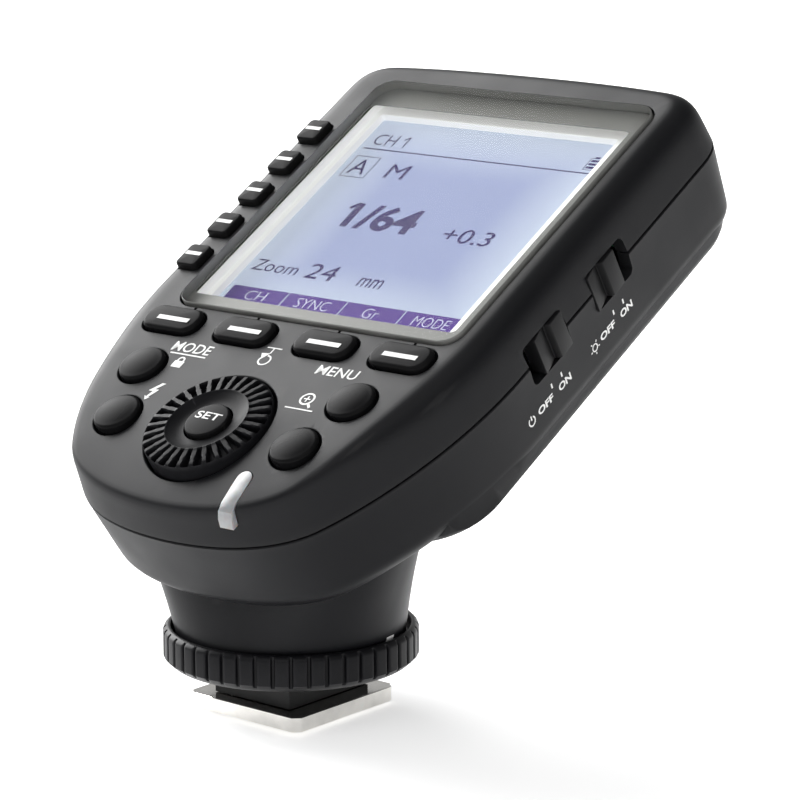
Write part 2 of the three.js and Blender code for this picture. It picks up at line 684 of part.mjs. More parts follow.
function footBlock() {
  const [a, b] = FOOT.window.map((size) => size / 2 - 0.15);
  const upper = box([-BLOCK.w / 2, -BLOCK.l / 2, FOOT.thick + 0.1], [BLOCK.w / 2, BLOCK.l / 2, BLOCK.top]);
  const lower = box([-a, -b, 0.05], [a, b, FOOT.thick + 0.5]);
  const tools = CONTACTS.map(([x, y, r]) => rod(r + 0.08, -1, 4.6, x, y, 12));
  tools.push(rod(LOCK_PIN.r + 0.08, -1, 7, LOCK_PIN.x, LOCK_PIN.y, 12));
  for (const [x, y] of FOOT_SCREWS) tools.push(rod(0.8, 0, 5.7, x, y, 12));
  return cut(union(upper, lower), ...tools);
}

const contactPin = ([x, y, r]) => union(rod(r, -0.25, 3.6, x, y, 12), rod(r * 0.6, -0.45, 0, x, y, 12));
const lockingPin = () => rod(LOCK_PIN.r, 0.15, 5, LOCK_PIN.x, LOCK_PIN.y, 12);

function footScrew([x, y]) {
  const screw = union(rod(1.15, 0.1, 0.95, x, y, 20), rod(0.7, 0.5, 5.4, x, y, 12));
  return cut(screw, box([x - 0.8, y - 0.15, -1], [x + 0.8, y + 0.15, 0.5]));
}

// ---- Assembly ----
const trigger = new THREE.Group();
const head = new THREE.Group();
head.applyMatrix4(HEAD);
trigger.add(head);

function add(group, name, shape, look) {
  const { numProp, vertProperties, triVerts } = shape.getMesh();
  const geometry = new THREE.BufferGeometry();
  geometry.setAttribute("position", new THREE.BufferAttribute(new Float32Array(vertProperties), numProp));
  geometry.setIndex(new THREE.BufferAttribute(new Uint32Array(triVerts), 1));
  geometry.computeVertexNormals();
  const mesh = new THREE.Mesh(geometry, look);
  mesh.name = name;
  group.add(mesh);
}

add(head, "upper_case", upperCase(), black());
add(trigger, "lower_case", lowerCase(), black());
add(head, "display_window", roundedBlock(LENS.w, LENS.h, LENS.r, LENS.x, LENS.y, LENS.low, LENS.top), gloss());
add(head, "display_bezel", displayBezel(), material(0xdcdcde, 0.5));
const layer = (low, high) => roundedBlock(42.6, 41.6, 0.5, 0, SCREEN_Y, low, high, 2);
add(head, "lcd_panel", layer(-4.7, -3.35), material(0xa8b4d4, 0.4));
add(head, "lcd_backlight", layer(-6.3, -4.85), material(0xf0f0f0, 0.6));
add(head, "main_board", mainBoard(), green());
add(head, "keypad_membrane", keypad(), material(0x55565a, 0.8));
const SIDE_KEYPAD = box([-26.3, groupY(0) - 3, -4.3], [-23, groupY(GROUP.count - 1) + 3, -3.75]);
add(head, "side_keypad_membrane", SIDE_KEYPAD, material(0x55565a, 0.8));
FUNCTION.xs.forEach((x, i) => add(head, `function_button_${i + 1}`, functionButton(x), gloss()));
for (const [name, at] of Object.entries(ROUND_BUTTONS))
  add(head, name, roundButton(at), gloss());
for (let i = 0; i < GROUP.count; i++) add(head, `group_button_${i + 1}`, groupButton(i), gloss());
add(head, "control_dial", controlDial(), black());
add(head, "set_button", setButton(), gloss());
add(head, "dial_encoder", encoder(), material(0x3a3a3c, 0.6));
add(
  head,
  "status_light_pipe",
  prismX(pipeOutline(0), PIPE.x - PIPE.w / 2, PIPE.x + PIPE.w / 2),
  material(0xd8dadd, 0.3),
);
add(head, "power_switch_knob", switchKnob(SWITCH_Y.power, SWITCH.throw / 2), black());
add(head, "lamp_switch_knob", switchKnob(SWITCH_Y.lamp, -SWITCH.throw / 2), black());
add(head, "power_switch_body", switchBody(SWITCH_Y.power), steel());
add(head, "lamp_switch_body", switchBody(SWITCH_Y.lamp), steel());
add(head, "radio_board", radioBoard(), green());
add(head, "antenna", wire(new Helix(1.6, 1.6, 5, 12), 0.3, 40).translate([13, -6, -12.6]), gold());
add(head, "battery_1", cell(-CELL.x, true), material(0x2c5d8f, 0.4));
add(head, "battery_2", cell(CELL.x, false), material(0x2c5d8f, 0.4));
add(head, "battery_spring_1", cellSpring(-CELL.x, true), steel());
add(head, "battery_spring_2", cellSpring(CELL.x, false), steel());
add(head, "battery_contact_1", cellPlate(-CELL.x, BAY.far - 0.35), steel());
add(head, "battery_contact_2", cellPlate(CELL.x, BAY.near + 0.35), steel());
add(head, "battery_door", batteryDoor(), black());
add(head, "door_latch", doorLatch(), black());
add(head, "door_hinge_pin", rodX(0.74, -15.1, 15.1, DOOR.hinge, DOOR.hingeZ, 16), steel());
SCREW_AT.forEach((at, i) => add(head, `case_screw_${i + 1}`, caseScrew(at), steel()));
add(head, "usb_socket", usbSocket(), steel());
add(head, "sync_jack", syncJack(), black());
add(trigger, "focus_lamp_window", lampWindow(), material(0x4a1218, 0.15));
add(trigger, "focus_lamp_led", lampLed(), material(0xb03030, 0.3));
add(trigger, "lock_ring", lockRing(), black());
add(trigger, "pressure_plate", pressurePlate(), black());
add(trigger, "foot_plate", footPlate(), steel());
add(trigger, "foot_block", footBlock(), black());
CONTACTS.forEach((at, i) => add(trigger, i ? `data_contact_${i}` : "centre_contact", contactPin(at), gold()));
add(trigger, "locking_pin", lockingPin(), steel());
FOOT_SCREWS.forEach((at, i) => add(trigger, `foot_screw_${i + 1}`, footScrew(at), steel()));

export default trigger;
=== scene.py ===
import math

import bmesh
import bpy
from mathutils import Matrix, Vector


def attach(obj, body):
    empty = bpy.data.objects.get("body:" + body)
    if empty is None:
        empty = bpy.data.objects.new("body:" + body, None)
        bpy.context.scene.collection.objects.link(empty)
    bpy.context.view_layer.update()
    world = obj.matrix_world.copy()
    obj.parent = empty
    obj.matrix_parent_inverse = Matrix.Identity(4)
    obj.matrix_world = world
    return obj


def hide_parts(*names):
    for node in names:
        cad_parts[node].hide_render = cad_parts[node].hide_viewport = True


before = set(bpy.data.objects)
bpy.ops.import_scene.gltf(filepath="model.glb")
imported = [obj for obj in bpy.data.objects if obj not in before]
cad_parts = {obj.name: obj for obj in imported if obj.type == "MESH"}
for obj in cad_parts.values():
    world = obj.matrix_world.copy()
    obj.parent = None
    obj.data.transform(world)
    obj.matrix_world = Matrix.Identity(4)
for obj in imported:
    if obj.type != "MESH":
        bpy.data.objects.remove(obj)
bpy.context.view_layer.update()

# ---- Frames and driving dimensions, in millimetres ----
MM = 0.001
TILT = math.radians(30.3)
DIAL_Y, DIAL_Z = -14.4, 38.8  # the dial's centre above the foot, where the head's frame starts
HEAD = Matrix.Translation((0, DIAL_Y, DIAL_Z)) @ Matrix.Rotation(TILT, 4, "X")
FOOT = Matrix.Identity(4)
SIDEWAYS = Matrix(((0, 0, 1, 0), (1, 0, 0, 0), (0, 1, 0, 0), (0, 0, 0, 1)))  # x, y, z become y, z, x

HALF_WIDTH, FRONT_Y, FAR_Y = 29.2, -13.3, 74.5
SEAM_TOP, SEAM_BOTTOM = -7.4, -7.65
SLAB_BOTTOM, HOUSING_BOTTOM = -20, -24.5
CAP_Y = 30  # where the case's wide faces close to a point
DROP_START, DROP_RADIUS = 6, 71  # the panel bends down towards the front from here
WALL, ROOF = 1.8, 2.0
LENS = dict(w=46.3, h=48.3, x=1.25, y=43.75, r=2.8, low=-1.1, top=0.5)
OPENING = dict(w=43.4, h=41, r=0.8, x=0.25, y=43.35)  # in the lens's printed border
SCREEN_Y, LCD_Z = 44.25, -3.35
FUNCTION = dict(w=9.1, h=4.4, y=16.2, r=1.9, xs=(-19, -6.7, 6.7, 19), top=0.95)
MARK_XS = (-18.4, -6.1, 7.1, 19.3)  # the white bars on the function keys
GROOVE_XS = (-17.6, -6.7, 6.8, 19.0)  # the short grooves between those keys and the lens
ROUND_R = 3.12
ROUND_KEYS = {
    "mode_button": (-17.4, 7.55),
    "test_button": (-14.75, -1.05),
    "menu_button": (17.4, 7.55),
    "zoom_button": (14.75, -1.05),
}
GROUP = dict(w=3.6, h=4.2, r=0.7, x=-25, first=28.1, pitch=6.84, count=5, top=0.9)
GAP = 0.26
DIAL = dict(r=8.5, hole=8.8, top=0.78, bottom=-3.5, hub=3.25, dish=5.4, ribs=30)
SET_R, SET_TOP = 2.98, 0.8
PIPE_X, PIPE_W = 10.6, 2.2
SWITCH = dict(length=8.5, height=5.7, z=-7.65, knob=6.1)
POWER_Y, LAMP_Y, THROW = 29.7, 44.1, 2.2
USB_Y, USB_Z, JACK_Y, JACK_Z = 35, -9.75, 49.5, -11
BAY = dict(half=15.4, near=15.5, far=71.4, floor=-22.95)
DOOR = dict(half=15.7, near=24.3, far=69, hinge=70.2, hinge_z=-23.3)
SCREWS = [(24.4, 64.8), (-24.4, 64.8), (24.4, 21.2), (-24.4, 21.2)]
RING = dict(r=16.15, low=6.05, top=10.75, bore=10, recess=14.8, floor=9.1, teeth=45)
NECK = dict(r=14.5, low=9.3, top=-18.6, half=21, front=13, back=9, power=2.3)  # top is a height in the head
FOOT_W, FOOT_L, FOOT_T, FOOT_CORNER = 18.6, 18.8, 2, 0.9
FOOT_SCREWS = [(-3.8, -6.3), (3.8, 6.3)]
PIN_Y, PIN_R = -6.5, 0.75


# ---- Meshes ----
def solid(verts, faces):
    mesh = bpy.data.meshes.new("solid")
    mesh.from_pydata([tuple(v) for v in verts], [], faces)
    made = bpy.data.objects.new("solid", mesh)
    bpy.context.scene.collection.objects.link(made)
    return made


def skin(rings, low=None, high=None, loop=False):
    """Closed over rings of equal length, from the bottom up, each anticlockwise from above."""
    count = len(rings[0])
    verts = [p for ring in rings for p in ring]
    faces = []
    for a in range(len(rings) if loop else len(rings) - 1):
        b = (a + 1) % len(rings)
        for i in range(count):
            j = (i + 1) % count
            faces.append((a * count + i, a * count + j, b * count + j, b * count + i))
    last = (len(rings) - 1) * count
    for centre, first, back in ((low, 0, True), (high, last, False)):
        if loop:
            break
        if centre is None:
            face = list(range(first, first + count))
            faces.append(face[::-1] if back else face)
            continue
        verts.append(centre)
        for i in range(count):
            a, b = first + i, first + (i + 1) % count
            faces.append((b, a, len(verts) - 1) if back else (a, b, len(verts) - 1))
    return solid(verts, faces)


def spun(profile, steps, x=0.0, y=0.0, loop=False):
    """A turned solid from (radius, height) pairs; a radius of zero at either end closes it."""
    ends = [None, None]
    points = list(profile)
    if not loop and points[0][0] == 0:
        ends[0] = (x, y, points.pop(0)[1])
    if not loop and points[-1][0] == 0:
        ends[1] = (x, y, points.pop()[1])
    angles = [2 * math.pi * i / steps for i in range(steps)]
    rings = [[(x + r * math.cos(a), y + r * math.sin(a), z) for a in angles] for r, z in points]
    return skin(rings, *ends, loop=loop)


def rectangle(w, h, r, x=0.0, y=0.0, steps=6):
    """A rounded rectangle, anticlockwise."""
    r = max(r, 0.02)
    points = []
    for k, (sx, sy) in enumerate(((1, -1), (1, 1), (-1, 1), (-1, -1))):
        cx, cy = x + sx * (w / 2 - r), y + sy * (h / 2 - r)
        for i in range(steps + 1):
            a = math.pi / 2 * (k - 1 + i / steps)
            points.append((cx + r * math.cos(a), cy + r * math.sin(a)))
    return points


def arc(steps, start=0.0, end=math.pi / 2):
    return [start + (end - start) * i / steps for i in range(steps + 1)]


def grown(w, h, r, x, y, levels, steps=6, sink=lambda y: 0):
    """Rings of a rounded rectangle, one to each (growth, height), lowered by sink at each point's y."""
    rings = []
    for grow, z in levels:
        shape = rectangle(w + 2 * grow, h + 2 * grow, r + grow, x, y, steps)
        rings.append([(px, py, z - sink(py)) for px, py in shape])
    return rings


def block(w, h, r, x, y, low, high, edge=0.0, steps=6):
    """An upright rounded block, its top and bottom edges rounded by edge."""
    levels = [(edge * (1 - math.sin(a)), low + edge * (1 - math.cos(a))) for a in arc(3)]
    levels += [(edge * (1 - math.cos(a)), high - edge * (1 - math.sin(a))) for a in arc(3)]
    if not edge:
        levels = [(0, low), (0, high)]
    return skin(grown(w, h, r, x, y, [(-inset, z) for inset, z in levels], steps))


def box(low, high):
    x, y = [(low[i] + high[i]) / 2 for i in (0, 1)]
    return block(high[0] - low[0], high[1] - low[1], 0.02, x, y, low[2], high[2], steps=1)


def prism(outline, low, high):
    return skin([[(x, y, z) for x, y in outline] for z in (low, high)])


def rod(r, low, high, x=0.0, y=0.0, steps=32):
    return spun([(r, low), (r, high)], steps, x, y)


def turned(made, matrix):
    made.data.transform(matrix)
    if matrix.determinant() < 0:
        made.data.flip_normals()
    return made


def along_x(made):
    """From an outline in (y, z) standing along z, to one that runs along x."""
    return turned(made, SIDEWAYS)


def combined(body, tools, operation):
    for tool in tools:
        step = body.modifiers.new("step", "BOOLEAN")
        step.operation, step.solver, step.object = operation, "EXACT", tool
    bpy.context.view_layer.update()
    graph = bpy.context.evaluated_depsgraph_get()
    mesh = bpy.data.meshes.new_from_object(body.evaluated_get(graph))
    body.modifiers.clear()
    body.data = mesh
    for tool in tools:
        bpy.data.objects.remove(tool)
    return body


def cut(body, *tools):
    return combined(body, tools, "DIFFERENCE")


def union(body, *tools):
    return combined(body, tools, "UNION")


def common(body, *tools):
    return combined(body, tools, "INTERSECT")


def together(*parts):
    """One mesh of several that don't touch."""
    work = bmesh.new()
    for part in parts:
        work.from_mesh(part.data)
        bpy.data.objects.remove(part)
    made = solid([], [])
    work.to_mesh(made.data)
    work.free()
    return made


def bevelled(made, width, segments=2, angle=30):
    step = made.modifiers.new("edge", "BEVEL")
    step.width, step.segments, step.limit_method = width, segments, "ANGLE"
    step.angle_limit = math.radians(angle)
    step.use_clamp_overlap = True
    return combined(made, [], "UNION")


def piece(made, name, material, body="housing", frame_of=HEAD, replaces=(), angle=32):
    """Names a mesh, takes it from its own frame in millimetres to the scene's, and rides it on a body."""
    made.name = made.data.name = name
    made.data.transform(Matrix.Scale(MM, 4) @ frame_of)
    made.data.shade_smooth()
    made.data.set_sharp_from_angle(angle=math.radians(angle))
    made.data.materials.clear()
    made.data.materials.append(material)
    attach(made, body)
    if replaces:
        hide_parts(*replaces)
    return made


def lerp(a, b, t):
    return a + (b - a) * t


def spline(points, steps):
    """A Catmull-Rom curve through points of any dimension."""
    first = [2 * a - b for a, b in zip(points[0], points[1])]
    last = [2 * a - b for a, b in zip(points[-1], points[-2])]
    p = [first, *points, last]
    made = []
    for k in range(1, len(p) - 2):
        for i in range(steps):
            t = i / steps
            point = []
            for a, b, c, d in zip(p[k - 1], p[k], p[k + 1], p[k + 2]):
                squared = (2 * a - 5 * b + 4 * c - d) * t * t
                point.append(0.5 * (2 * b + (c - a) * t + squared + (3 * b - a - 3 * c + d) * t**3))
            made.append(tuple(point))
    return [*made, tuple(points[-1])]


# ---- The head's outline ----
def bezier(a, b, c, d, steps):
    """Points on a cubic curve, each with its outward normal."""
    made = []
    for i in range(steps):
        t = i / steps
        s = 1 - t
        at = [s**3 * a[k] + 3 * s * s * t * b[k] + 3 * s * t * t * c[k] + t**3 * d[k] for k in (0, 1)]
        go = [s * s * (b[k] - a[k]) + 2 * s * t * (c[k] - b[k]) + t * t * (d[k] - c[k]) for k in (0, 1)]
        size = math.hypot(*go)
        made.append((at[0], at[1], go[1] / size, -go[0] / size))
    return made


def head_outline():
    """Points (x, y) and outward normals, anticlockwise from the middle of the near end."""
    side = [(HALF_WIDTH, lerp(24, 66.7, i / 24), 1.0, 0.0) for i in range(24)]
    right = [
        *bezier((0, FRONT_Y), (9, FRONT_Y), (16.2, -11.2), (19.5, -7.2), 18),
        *bezier((19.5, -7.2), (23.6, -1.8), (HALF_WIDTH, 10), (HALF_WIDTH, 24), 20),
        *side,
        *bezier((HALF_WIDTH, 66.7), (HALF_WIDTH, 70.9), (27, 73.4), (22.5, 73.8), 14),
        *bezier((22.5, 73.8), (15, 74.4), (8, FAR_Y), (0, FAR_Y), 10),
    ]
    left = [(-x, y, -nx, ny) for x, y, nx, ny in reversed(right[1:])]
    return [*right, (0, FAR_Y, 0.0, 1.0), *left]


OUTLINE = head_outline()


def smoothstep(low, high, value):
    t = min(max((value - low) / (high - low), 0), 1)
    return t * t * (3 - 2 * t)


def drop(y):
    """How far the panel has bent down at y, on a circle's parabola."""
    return (DROP_START - y) ** 2 / (2 * DROP_RADIUS) if y < DROP_START else 0.0


def head_ring(side, front, z, weight=0.0):
    """The outline set in by side, or by front at the near end, less weight times the panel's drop."""
    ring = []
    for x, y, nx, ny in OUTLINE:
        inset = lerp(side, front, 1 - smoothstep(-9, 12, y))
        px, py = x - nx * inset, y - ny * inset
        ring.append((px, py, z - weight * drop(py)))
    return ring


def panel_rings(ring, z, steps):
    """Rings that close over the panel from its rim towards the middle."""
    made = []
    for k in range(1, steps):
        t = k / steps
        flat = [(x * (1 - t), lerp(y, CAP_Y, t)) for x, y, _ in ring]
        made.append([(x, y, z - drop(y)) for x, y in flat])
    return made


def hole(w, h, r, x, y, low, edge=0.22, steps=6):
    """Cuts a hole whose upper edge is rounded over."""
    levels = [(0, low), (0, -edge)]
    levels += [(edge * (1 - math.cos(a)), -edge * (1 - math.sin(a))) for a in arc(4, 0.3, 1.35)]
    levels.append((edge + 0.35, 1.2))
    return skin(grown(w, h, r, x, y, levels, steps, drop))


def round_hole(r, x, y, low, edge=0.22, steps=48):
    return hole(2 * r, 2 * r, r, x, y, low, edge, steps // 4)


def group_y(i):
    return GROUP["first"] + i * GROUP["pitch"]


def pipe_outline(gap):
    """The light pipe from the side, as (y, z), grown by gap."""
    return [
        (-5.6 + gap, -2.1 - gap), (-5.6 + gap, -0.85 + gap), (-8, -1.32 + gap), (-10.2, -1.8 + gap),
        (-11.35 - gap, -2.35 + gap), (-11.85 - gap, -3.2), (-12.1 - gap, -4.3 - gap),
        (-11 + gap, -4.3 - gap), (-10.8 + gap, -3.7 - gap), (-9.7, -3.1 - gap),
    ]


def pipe_solid(gap):
    """The light pipe's side outline along its width, with a round end in plan."""
    half = PIPE_W / 2 + gap
    body = along_x(prism(pipe_outline(gap), PIPE_X - half, PIPE_X + half))
    plan = [(PIPE_X - half, -14), (PIPE_X + half, -14)]
    plan += [(PIPE_X + half * math.cos(a), -5.6 + gap - half + half * math.sin(a)) for a in arc(16, 0, math.pi)]
    return common(body, prism(plan, -8, 1))


def switch_window(y):
    shape = rectangle(SWITCH["length"], SWITCH["height"], 0.9, y, SWITCH["z"])
    return along_x(prism(shape, 24, 32))


# ---- Upper case ----
UPPER_LEVELS = [(0, 0, -7.28), (0.45, 0.45, -3.5), (0.95, 0.65, -1.75), (1.75, 0.85, -0.75), (2.8, 1.2, -0.18)]
UPPER_LEVELS = spline([*UPPER_LEVELS, (3.9, 1.9, 0), (5.2, 2.8, 0)], 6)[:-6]


def upper_case():
    """The panel and its rim, hollow, with a hole for every key, the dial, the lens and the light pipe."""
    levels = [(0.14, 0.14, SEAM_TOP), *UPPER_LEVELS]
    rings = [head_ring(side, front, z, 1 - z / SEAM_TOP) for side, front, z in levels]
    shell = skin([*rings, *panel_rings(rings[-1], 0, 26)], (0, CAP_Y, SEAM_TOP), (0, CAP_Y, 0))
    inner = [(WALL, WALL, SEAM_TOP - 0.5), (WALL + 0.6, WALL + 0.5, -ROOF - 1.6)]
    inner.append((WALL + 1.9, WALL + 1.3, -ROOF))
    inner_rings = [head_ring(s, f, z, max(0, 1 - z / SEAM_TOP)) for s, f, z in inner]
    inner_rings[-1] = [(x, y, -ROOF - drop(y)) for x, y, _ in inner_rings[-1]]
    closing = panel_rings(inner_rings[-1], -ROOF, 12)
    cavity = skin([*inner_rings, *closing], (0, CAP_Y, SEAM_TOP - 0.5), (0, CAP_Y, -ROOF))
    shell = cut(shell, cavity)
    shell = union(shell, together(*[rod(2.1, -7.3, -ROOF + 0.6, x, y) for x, y in SCREWS]))
    shell = cut(shell, together(*[rod(1.1, -8, -3.1, x, y) for x, y in SCREWS]))
    first = [
        hole(LENS["w"] + 0.5, LENS["h"] + 0.5, LENS["r"] + 0.2, LENS["x"], LENS["y"], LENS["low"] - 0.15, 0.14),
        round_hole(DIAL["hole"], 0, 0, -7.2, 0.3, 96),
        pipe_solid(0.12),
        switch_window(POWER_Y),
        switch_window(LAMP_Y),
    ]
    w, h, r = FUNCTION["w"] + 2 * GAP, FUNCTION["h"] + 2 * GAP, FUNCTION["r"] + GAP
    first += [hole(w, h, r, x, FUNCTION["y"], -6) for x in FUNCTION["xs"]]
    first += [round_hole(ROUND_R + GAP, x, y, -7) for x, y in ROUND_KEYS.values()]
    second = [block(LENS["w"] - 1, LENS["h"] - 1, LENS["r"] - 0.5, LENS["x"], LENS["y"], -6, 0)]
    for x in GROOVE_XS:
        second.append(box((x - 0.22, 18.2, -0.7), (x + 0.22, 19.7, 0.6)))
    for i in range(GROUP["count"]):
        second.append(hole(GROUP["w"] + 0.4, GROUP["h"] + 0.4, 0.9, GROUP["x"], group_y(i), -1.95, 0.12))
    third = [block(2.4, 2.6, 0.5, GROUP["x"], group_y(i), -6, 0) for i in range(GROUP["count"])]
    return cut(shell, together(*first), together(*second), together(*third))


# ---- Lower case ----
SLAB_LEVELS = [(4.4, SLAB_BOTTOM), (3.6, -19.8), (2.7, -19.3), (1.7, -18.4), (0.95, -17.2)]
SLAB_LEVELS = spline([*SLAB_LEVELS, (0.7, -15.5), (0.35, -11.6), (0, SEAM_BOTTOM - 0.12)], 5)


def wall_inset(z):
    """How far the slab's side wall stands in from the outline at height z."""
    for (a, low), (b, high) in zip(SLAB_LEVELS, SLAB_LEVELS[1:]):
        if low <= z <= high:
            return lerp(a, b, (z - low) / (high - low))
    return 0.0


def slab():
    rings = [head_ring(inset, inset, z) for inset, z in [*SLAB_LEVELS, (0.14, SEAM_BOTTOM)]]
    return skin(rings, (0, CAP_Y, SLAB_BOTTOM), (0, CAP_Y, SEAM_BOTTOM))


def slab_cavity():
    floor, lid = SLAB_BOTTOM + WALL, SEAM_BOTTOM + 1
    levels = [(5.2, floor), (3.4, -17.4), (WALL + 0.8, -15.5), (WALL, lid)]
    return skin([head_ring(i, i, z) for i, z in levels], (0, CAP_Y, floor), (0, CAP_Y, lid))


def housing_ring(half, near, far, round_near, round_far, z, steps=14):
    """One level of the battery housing: its near corners are rounded more than its far ones."""
    ring = []
    for k, (side, y, r) in enumerate(
        ((1, near, round_near), (1, far, round_far), (-1, far, round_far), (-1, near, round_near))
    ):
        cx, cy = side * (half - r), y + r if y == near else y - r
        for a in arc(steps, math.pi / 2 * (k - 1), math.pi / 2 * k):
            ring.append((cx + r * math.cos(a), cy + r * math.sin(a), z))
    return ring


def housing():
    """The deeper middle of the underside, chamfered along both sides and swept up at its near end."""
    levels = [
        (21.0, 15.8, 70.8, 7, 7.8, HOUSING_BOTTOM), (21.8, 14.0, 71.5, 7, 7.9, -24.4),
        (22.7, 12.2, 72.1, 7.4, 8, -24.1), (23.6, 10.2, 72.5, 8, 8.1, -23.35),
        (24.9, 7.8, 72.6, 8.5, 8.4, -22.2), (26.5, 5.8, 72.8, 9, 8.4, -20.7),
        (27.5, 4.9, 72.9, 9, 8.2, -19.75), (27.95, 4.5, 73.0, 9, 7.8, -18.9), (28.0, 4.2, 73.1, 9, 7.0, -17.5),
        (28.0, 4, 73.2, 9, 6.0, -15),
    ]
    body = skin([housing_ring(*level) for level in levels])
    plan = skin([head_ring(0.95, 0.95, z) for z in (-30, -10)])
    return common(body, plan)


def plane_height(level, y):
    """The height of the head's plane z = level over the point at y, in the foot's frame."""
    shift = (y - DIAL_Y + level * math.sin(TILT)) / math.cos(TILT)
    return DIAL_Z + shift * math.sin(TILT) + level * math.cos(TILT)


def neck_point(a, t, grow, low, level):
    """The neck's wall at angle a, a share t of the way up from the ring to the head."""
    c, s = math.cos(a), math.sin(a)
    depth = (NECK["front"] if s < 0 else NECK["back"]) + grow
    rounded = [math.copysign(abs(value) ** (2 / NECK["power"]), value) for value in (c, s)]
    top = ((NECK["half"] + grow) * rounded[0], depth * rounded[1])
    x = lerp((NECK["r"] + grow) * c, top[0], t**1.15)
    y = lerp((NECK["r"] + grow) * s, top[1], t**1.15)
    return (x, y, lerp(low, plane_height(level, top[1]), t))


def neck(grow, low, level, sides=128, steps=14):
    angles = [2 * math.pi * i / sides for i in range(sides)]
    rings = [[neck_point(a, k / steps, grow, low, level) for a in angles] for k in range(steps + 1)]
    return skin(rings, (0, 0, low), (0, 0, plane_height(level, 0)))


def lamp_prism(grow):
    shape = rectangle(15 + 2 * grow, 7.6 + 2 * grow, 2 + grow, 0, 18, 10)
    turn = Matrix(((-1, 0, 0, 0), (0, 0, 1, 0), (0, 1, 0, 0), (0, 0, 0, 1)))
    return turned(prism(shape, 4, 22), turn)


def lower_case():
    """Slab, battery housing and neck as one shell, hollow, with every opening cut."""
    to_head = HEAD.inverted()
    stem = union(neck(0, NECK["low"], NECK["top"]), rod(9.87, 6.2, NECK["low"] + 0.3, steps=96))
    body = union(slab(), housing(), turned(stem, to_head))
    body = cut(body, turned(neck(-2.2, NECK["low"] + 1.7, -17.4, 64, 6), to_head))
    ribs = [box((s * 16 - 0.6, 16, -19), (s * 16 + 0.6, 71.9, -9)) for s in (-1, 1)]
    near = box((-16.6, 14.2, -19), (16.6, BAY["near"], -9))
    body = cut(body, cut(slab_cavity(), *ribs, near))
    body = cut(body, box((-BAY["half"], BAY["near"], BAY["floor"]), (BAY["half"], BAY["far"], -5)))
    body = union(body, together(*[rod(2.9, -18, -8.2, x, y) for x, y in SCREWS]))
    ears = [box((s * 14.3 - 1.15, 69.1, -24.2), (s * 14.3 + 1.15, 72, -21.8)) for s in (-1, 1)]
    body = union(body, together(*ears))
    wells = [spun([(2.15, -16.5), (2.15, -24.1), (2.6, -24.9), (2.6, -26)][::-1], 40, x, y) for x, y in SCREWS]
    body = cut(body, together(*wells), together(*[rod(1.1, -17, -7, x, y) for x, y in SCREWS]))
    opening = box((-DOOR["half"] - 0.2, DOOR["near"] - 0.3, -26), (DOOR["half"] + 0.2, DOOR["far"], -22.45))
    body = cut(body, opening, box((-13.1, 68, -26), (13.1, 71.6, -21.7)))
    pin = along_x(rod(0.8, -15.3, 15.3, DOOR["hinge"], DOOR["hinge_z"]))
    mouth = along_x(prism(rectangle(9.4, 3.6, 1.7, USB_Y, USB_Z), -34, -22))
    jack = along_x(rod(3, -32, -24, JACK_Y, JACK_Z, 48))
    slot = box((-2.8, 23.1, -26), (2.8, DOOR["near"], -23.2))
    windows = together(switch_window(POWER_Y), switch_window(LAMP_Y))
    body = cut(body, pin, slot, windows, together(mouth, jack))
    lamp = common(lamp_prism(0.2), box((-30, 3, 0), (30, 40, 60)))
    tools = together(rod(4, 5, 13), lamp)
    return cut(body, turned(tools, to_head))


# ---- Keys, dial and window ----
def cap(w, h, r, x, y, low, top, edge, crown, flange=0.0):
    """A key cap with rounded upper edges, a crowned top and a flange under the panel."""
    levels = [(flange, low), (flange, low + 0.6)] if flange else []
    levels += [(0, low + 0.6 if flange else low), (0, top - crown - edge)]
    levels += [(-edge * (1 - math.cos(a)), top - crown - edge * (1 - math.sin(a))) for a in arc(6)[1:]]
    rings = grown(w, h, r, x, y, levels)
    for k in range(1, 7):
        t = k / 7
        z = top - crown * (1 - t) ** 2
        rings.append([(lerp(px, x, t), lerp(py, y, t), z) for px, py, _ in rings[len(levels) - 1]])
    return skin(rings, None, (x, y, top))


def round_key(x, y):
    top, low = 1.0 - drop(y), -3.2 - drop(y - ROUND_R)
    edge, crown = 0.42, 0.3
    r = ROUND_R
    profile = [(0, low), (r + 0.45, low), (r + 0.45, low + 0.6), (r, low + 0.6), (r, top - crown - edge)]
    profile += [(r - edge * (1 - math.cos(a)), top - crown - edge * (1 - math.sin(a))) for a in arc(6)[1:]]
    inner = r - edge
    profile += [(inner * (1 - k / 6), top - crown * (1 - k / 6) ** 2) for k in range(1, 7)]
    profile[-1] = (0, top)
    return spun(profile, 56, x, y)


